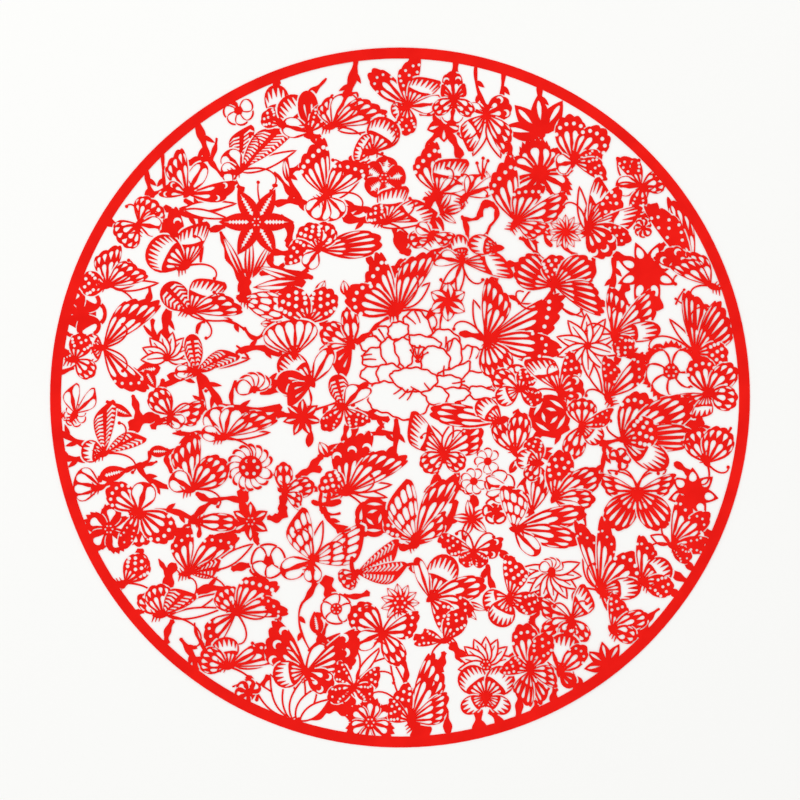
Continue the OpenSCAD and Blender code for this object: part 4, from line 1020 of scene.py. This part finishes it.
rims = []
while onward:
    p = next(iter(onward))
    loop = []
    while p in onward:
        loop.append(points[p])
        q = onward[p].pop()
        if not onward[p]:
            del onward[p]
        p = q
    far = loop.index(max(loop, key=lambda v: v.x))
    loop = loop[far:] + loop[:far]
    rim = loop[:1]
    for i in range(1, len(loop)):
        if off_line(loop[i], rim[-1], loop[(i + 1) % len(loop)]) > FLAT:
            rim.append(loop[i])
    if len(rim) > 2 and abs(area(rim)) > SPECK:
        rims.append(rim)
print(len(edges), "edges in", len(rims), "loops, with", sum(len(r) for r in rims), "corners left")

# %% [markdown]
# ## The flat sheet
# What lies inside an odd number of these loops is paper, and a second triangulation gives a mesh with
# corners at its edges only. A bit that hangs on nothing would drop out of the real sheet, so all that
# isn't linked to the ring is selected and deleted, as by hand with Select Linked and Invert.

# %% Make the flat sheet
points, found = triangulate(rims)
kept = [t for t, over in found if len(over) % 2]
mesh = bpy.data.meshes.new("paper_cutting")
size = SCALE * MM
mesh.from_pydata([(p.x * size, p.y * size, 0) for p in points], [], kept)
sheet = bpy.data.objects.new("paper_cutting", mesh)
bpy.context.collection.objects.link(sheet)
bpy.context.view_layer.objects.active = sheet
sheet.select_set(True)
print("flat sheet:", len(mesh.vertices), "corners,", len(mesh.polygons), "triangles")

# %% Drop the loose bits
bpy.ops.object.mode_set(mode="EDIT")
bpy.ops.mesh.select_mode(type="VERT")
bpy.ops.mesh.select_all(action="DESELECT")
bpy.ops.object.mode_set(mode="OBJECT")
rim = max(mesh.vertices, key=lambda v: v.co.length)
rim.select = True
bpy.ops.object.mode_set(mode="EDIT")
bpy.ops.mesh.select_linked()
bpy.ops.mesh.select_all(action="INVERT")
bpy.ops.object.mode_set(mode="OBJECT")
crumbs = sum(p.area for p in mesh.polygons if p.select) / MM ** 2
bpy.ops.object.mode_set(mode="EDIT")
bpy.ops.mesh.delete(type="VERT")
bpy.ops.object.mode_set(mode="OBJECT")
share = sum(p.area for p in mesh.polygons) / (pi * (SHEET_R * MM) ** 2)
print(f"crumbs removed: {crumbs:.1f} mm2; paper left: {share:.1%} of the disc; corners: {len(mesh.vertices)}")

# %% [markdown]
# ## A sheet that has been handled
# Paper that is half holes never lies dead flat. Long, low waves lift it by about 0.4 mm at most, which
# is enough for a soft edge of shadow on the table. Solidify then gives the sheet its thickness.

# %% Lift and thicken
LIFT = 0.3
WAVE = 80
WAVE_ROW = 0.3
for v in mesh.vertices:
    v.co.z = LIFT * MM * noise.noise(Vector((v.co.x, v.co.y, WAVE_ROW)) / (WAVE * MM))
floor_z = min(v.co.z for v in mesh.vertices)
for v in mesh.vertices:
    v.co.z -= floor_z
thick = sheet.modifiers.new("thickness", "SOLIDIFY")
thick.thickness = PAPER_T * MM
thick.offset = 1
bpy.ops.object.modifier_apply(modifier="thickness")
mesh.calc_loop_triangles()
print("paper_cutting:", len(mesh.loop_triangles), "triangles")

# %% [markdown]
# ## Dyed paper
# The paper is thin, soft and dyed right through, so both sides and the cut edges are the same warm red.
# The dye takes unevenly by a few percent in patches some 15 mm across. Fibres about 2 mm long stand up a
# little and make the surface matt: that is a fine bump, drawn slightly coarser than life so that it shows.

# %% Helpers for materials
def linear(hex_colour):
    parts = [int(hex_colour[i:i + 2], 16) / 255 for i in (1, 3, 5)]
    return (*[c / 12.92 if c <= 0.04045 else ((c + 0.055) / 1.055) ** 2.4 for c in parts], 1)


def add(tree, kind, settings=(), links=()):
    node = tree.nodes.new(kind)
    for name, value in dict(settings).items():
        if name in node.inputs:
            node.inputs[name].default_value = value
        else:
            setattr(node, name, value)
    for name, source in dict(links).items():
        tree.links.new(source, node.inputs[name])
    return node


PAPER_RED = "#F21A12"
PAPER_DEEP = "#E8150E"
print("red as linear light:", [round(c, 3) for c in linear(PAPER_RED)])

# %% Material of the paper
# dyed cutting paper: matt, even in colour, with hardly any shine
PATCH = 15
FIBRE = 2
NAP = 0.05
red = bpy.data.materials.new("dyed_red_paper")
red.use_nodes = True
tree = red.node_tree
shader = tree.nodes["Principled BSDF"]
spot = add(tree, "ShaderNodeTexCoord").outputs["Object"]
patches = add(tree, "ShaderNodeTexNoise", {"Scale": 1 / (PATCH * MM), "Detail": 4}, {"Vector": spot})
dye = add(tree, "ShaderNodeValToRGB", {}, {"Fac": patches.outputs["Fac"]})
dye.color_ramp.elements[0].position = 0.35
dye.color_ramp.elements[0].color = linear(PAPER_DEEP)
dye.color_ramp.elements[1].position = 0.65
dye.color_ramp.elements[1].color = linear(PAPER_RED)
fibres = add(tree, "ShaderNodeTexNoise", {"Scale": 1 / (FIBRE * MM), "Detail": 6}, {"Vector": spot})
height = fibres.outputs["Fac"]
nap = add(tree, "ShaderNodeBump", {"Strength": 0.25, "Distance": NAP * MM}, {"Height": height})
tree.links.new(dye.outputs["Color"], shader.inputs["Base Color"])
tree.links.new(nap.outputs["Normal"], shader.inputs["Normal"])
shader.inputs["Roughness"].default_value = 0.85
shader.inputs["Specular IOR Level"].default_value = 0.08
mesh.materials.clear()
mesh.materials.append(red)
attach(sheet, "root")
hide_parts("paper")
print("paper_cutting is", red.name)

# %% [markdown]
# ## Table
# The photograph shows the cutting on plain white. A tall object would need a curved backdrop; a sheet that
# is seen from above needs only a flat card, which keeps the faint shadow. It lies just under the sheet, so
# that no two faces share a place.

# %% Floor
# white card: matt and a little warm
FLOOR_W = 8
FLOOR_GAP = 0.02
CARD_WHITE = "#FAFAF8"
bpy.ops.object.select_all(action="DESELECT")
bpy.ops.mesh.primitive_plane_add(size=FLOOR_W, location=(0, 0, -FLOOR_GAP * MM))
floor = bpy.context.object
floor.name = "floor"
white = bpy.data.materials.new("white_card")
white.use_nodes = True
card = white.node_tree.nodes["Principled BSDF"]
card.inputs["Base Color"].default_value = linear(CARD_WHITE)
card.inputs["Roughness"].default_value = 0.9
card.inputs["Specular IOR Level"].default_value = 0.1
floor.data.materials.append(white)
print("floor", FLOOR_W, "m wide,", FLOOR_GAP, "mm under the sheet")

# %% [markdown]
# ## Light
# The light is soft and comes from the upper left. A sun lamp would draw hard shadows, so a wide round lamp
# makes them and an even white sky fills them, both at a level at which a colour renders about as written.

# %% Light
SKY = 0.8
LAMP_AT = (-1.1, 1.3, 2.8)
LAMP_W = 1.6
LAMP_POWER = 27
world = bpy.data.worlds.new("studio")
bpy.context.scene.world = world
world.use_nodes = True
sky = world.node_tree.nodes["Background"]
sky.inputs["Color"].default_value = (1, 1, 1, 1)
sky.inputs["Strength"].default_value = SKY
bpy.ops.object.light_add(type="AREA", location=LAMP_AT)
lamp = bpy.context.object
lamp.data.shape = "DISK"
lamp.data.size = LAMP_W
lamp.data.energy = LAMP_POWER
lamp.rotation_euler = (Vector((0, 0, 0)) - lamp.location).to_track_quat("-Z", "Y").to_euler()
bpy.context.scene.view_settings.view_transform = "Standard"
print(f"lamp of {LAMP_POWER} W, {lamp.location.length:.2f} m away")

# %% [markdown]
# ## Camera
# The photograph looks straight down. The camera hangs over the middle of the sheet, high up and with a long
# lens, so that the view is nearly flat. The lens is worked out from the width that has to be in view.

# %% Camera
VIEW_W = 400
HEIGHT = 1.6
OFF_MIDDLE = -1.25
SENSOR = 36
bpy.ops.object.camera_add(location=(0, OFF_MIDDLE * MM, HEIGHT), rotation=(0, 0, 0))
camera = bpy.context.object
camera.data.sensor_width = SENSOR
camera.data.lens = SENSOR * HEIGHT / (VIEW_W * MM)
bpy.context.scene.camera = camera
print(f"lens {camera.data.lens:.0f} mm, {VIEW_W} mm in view")
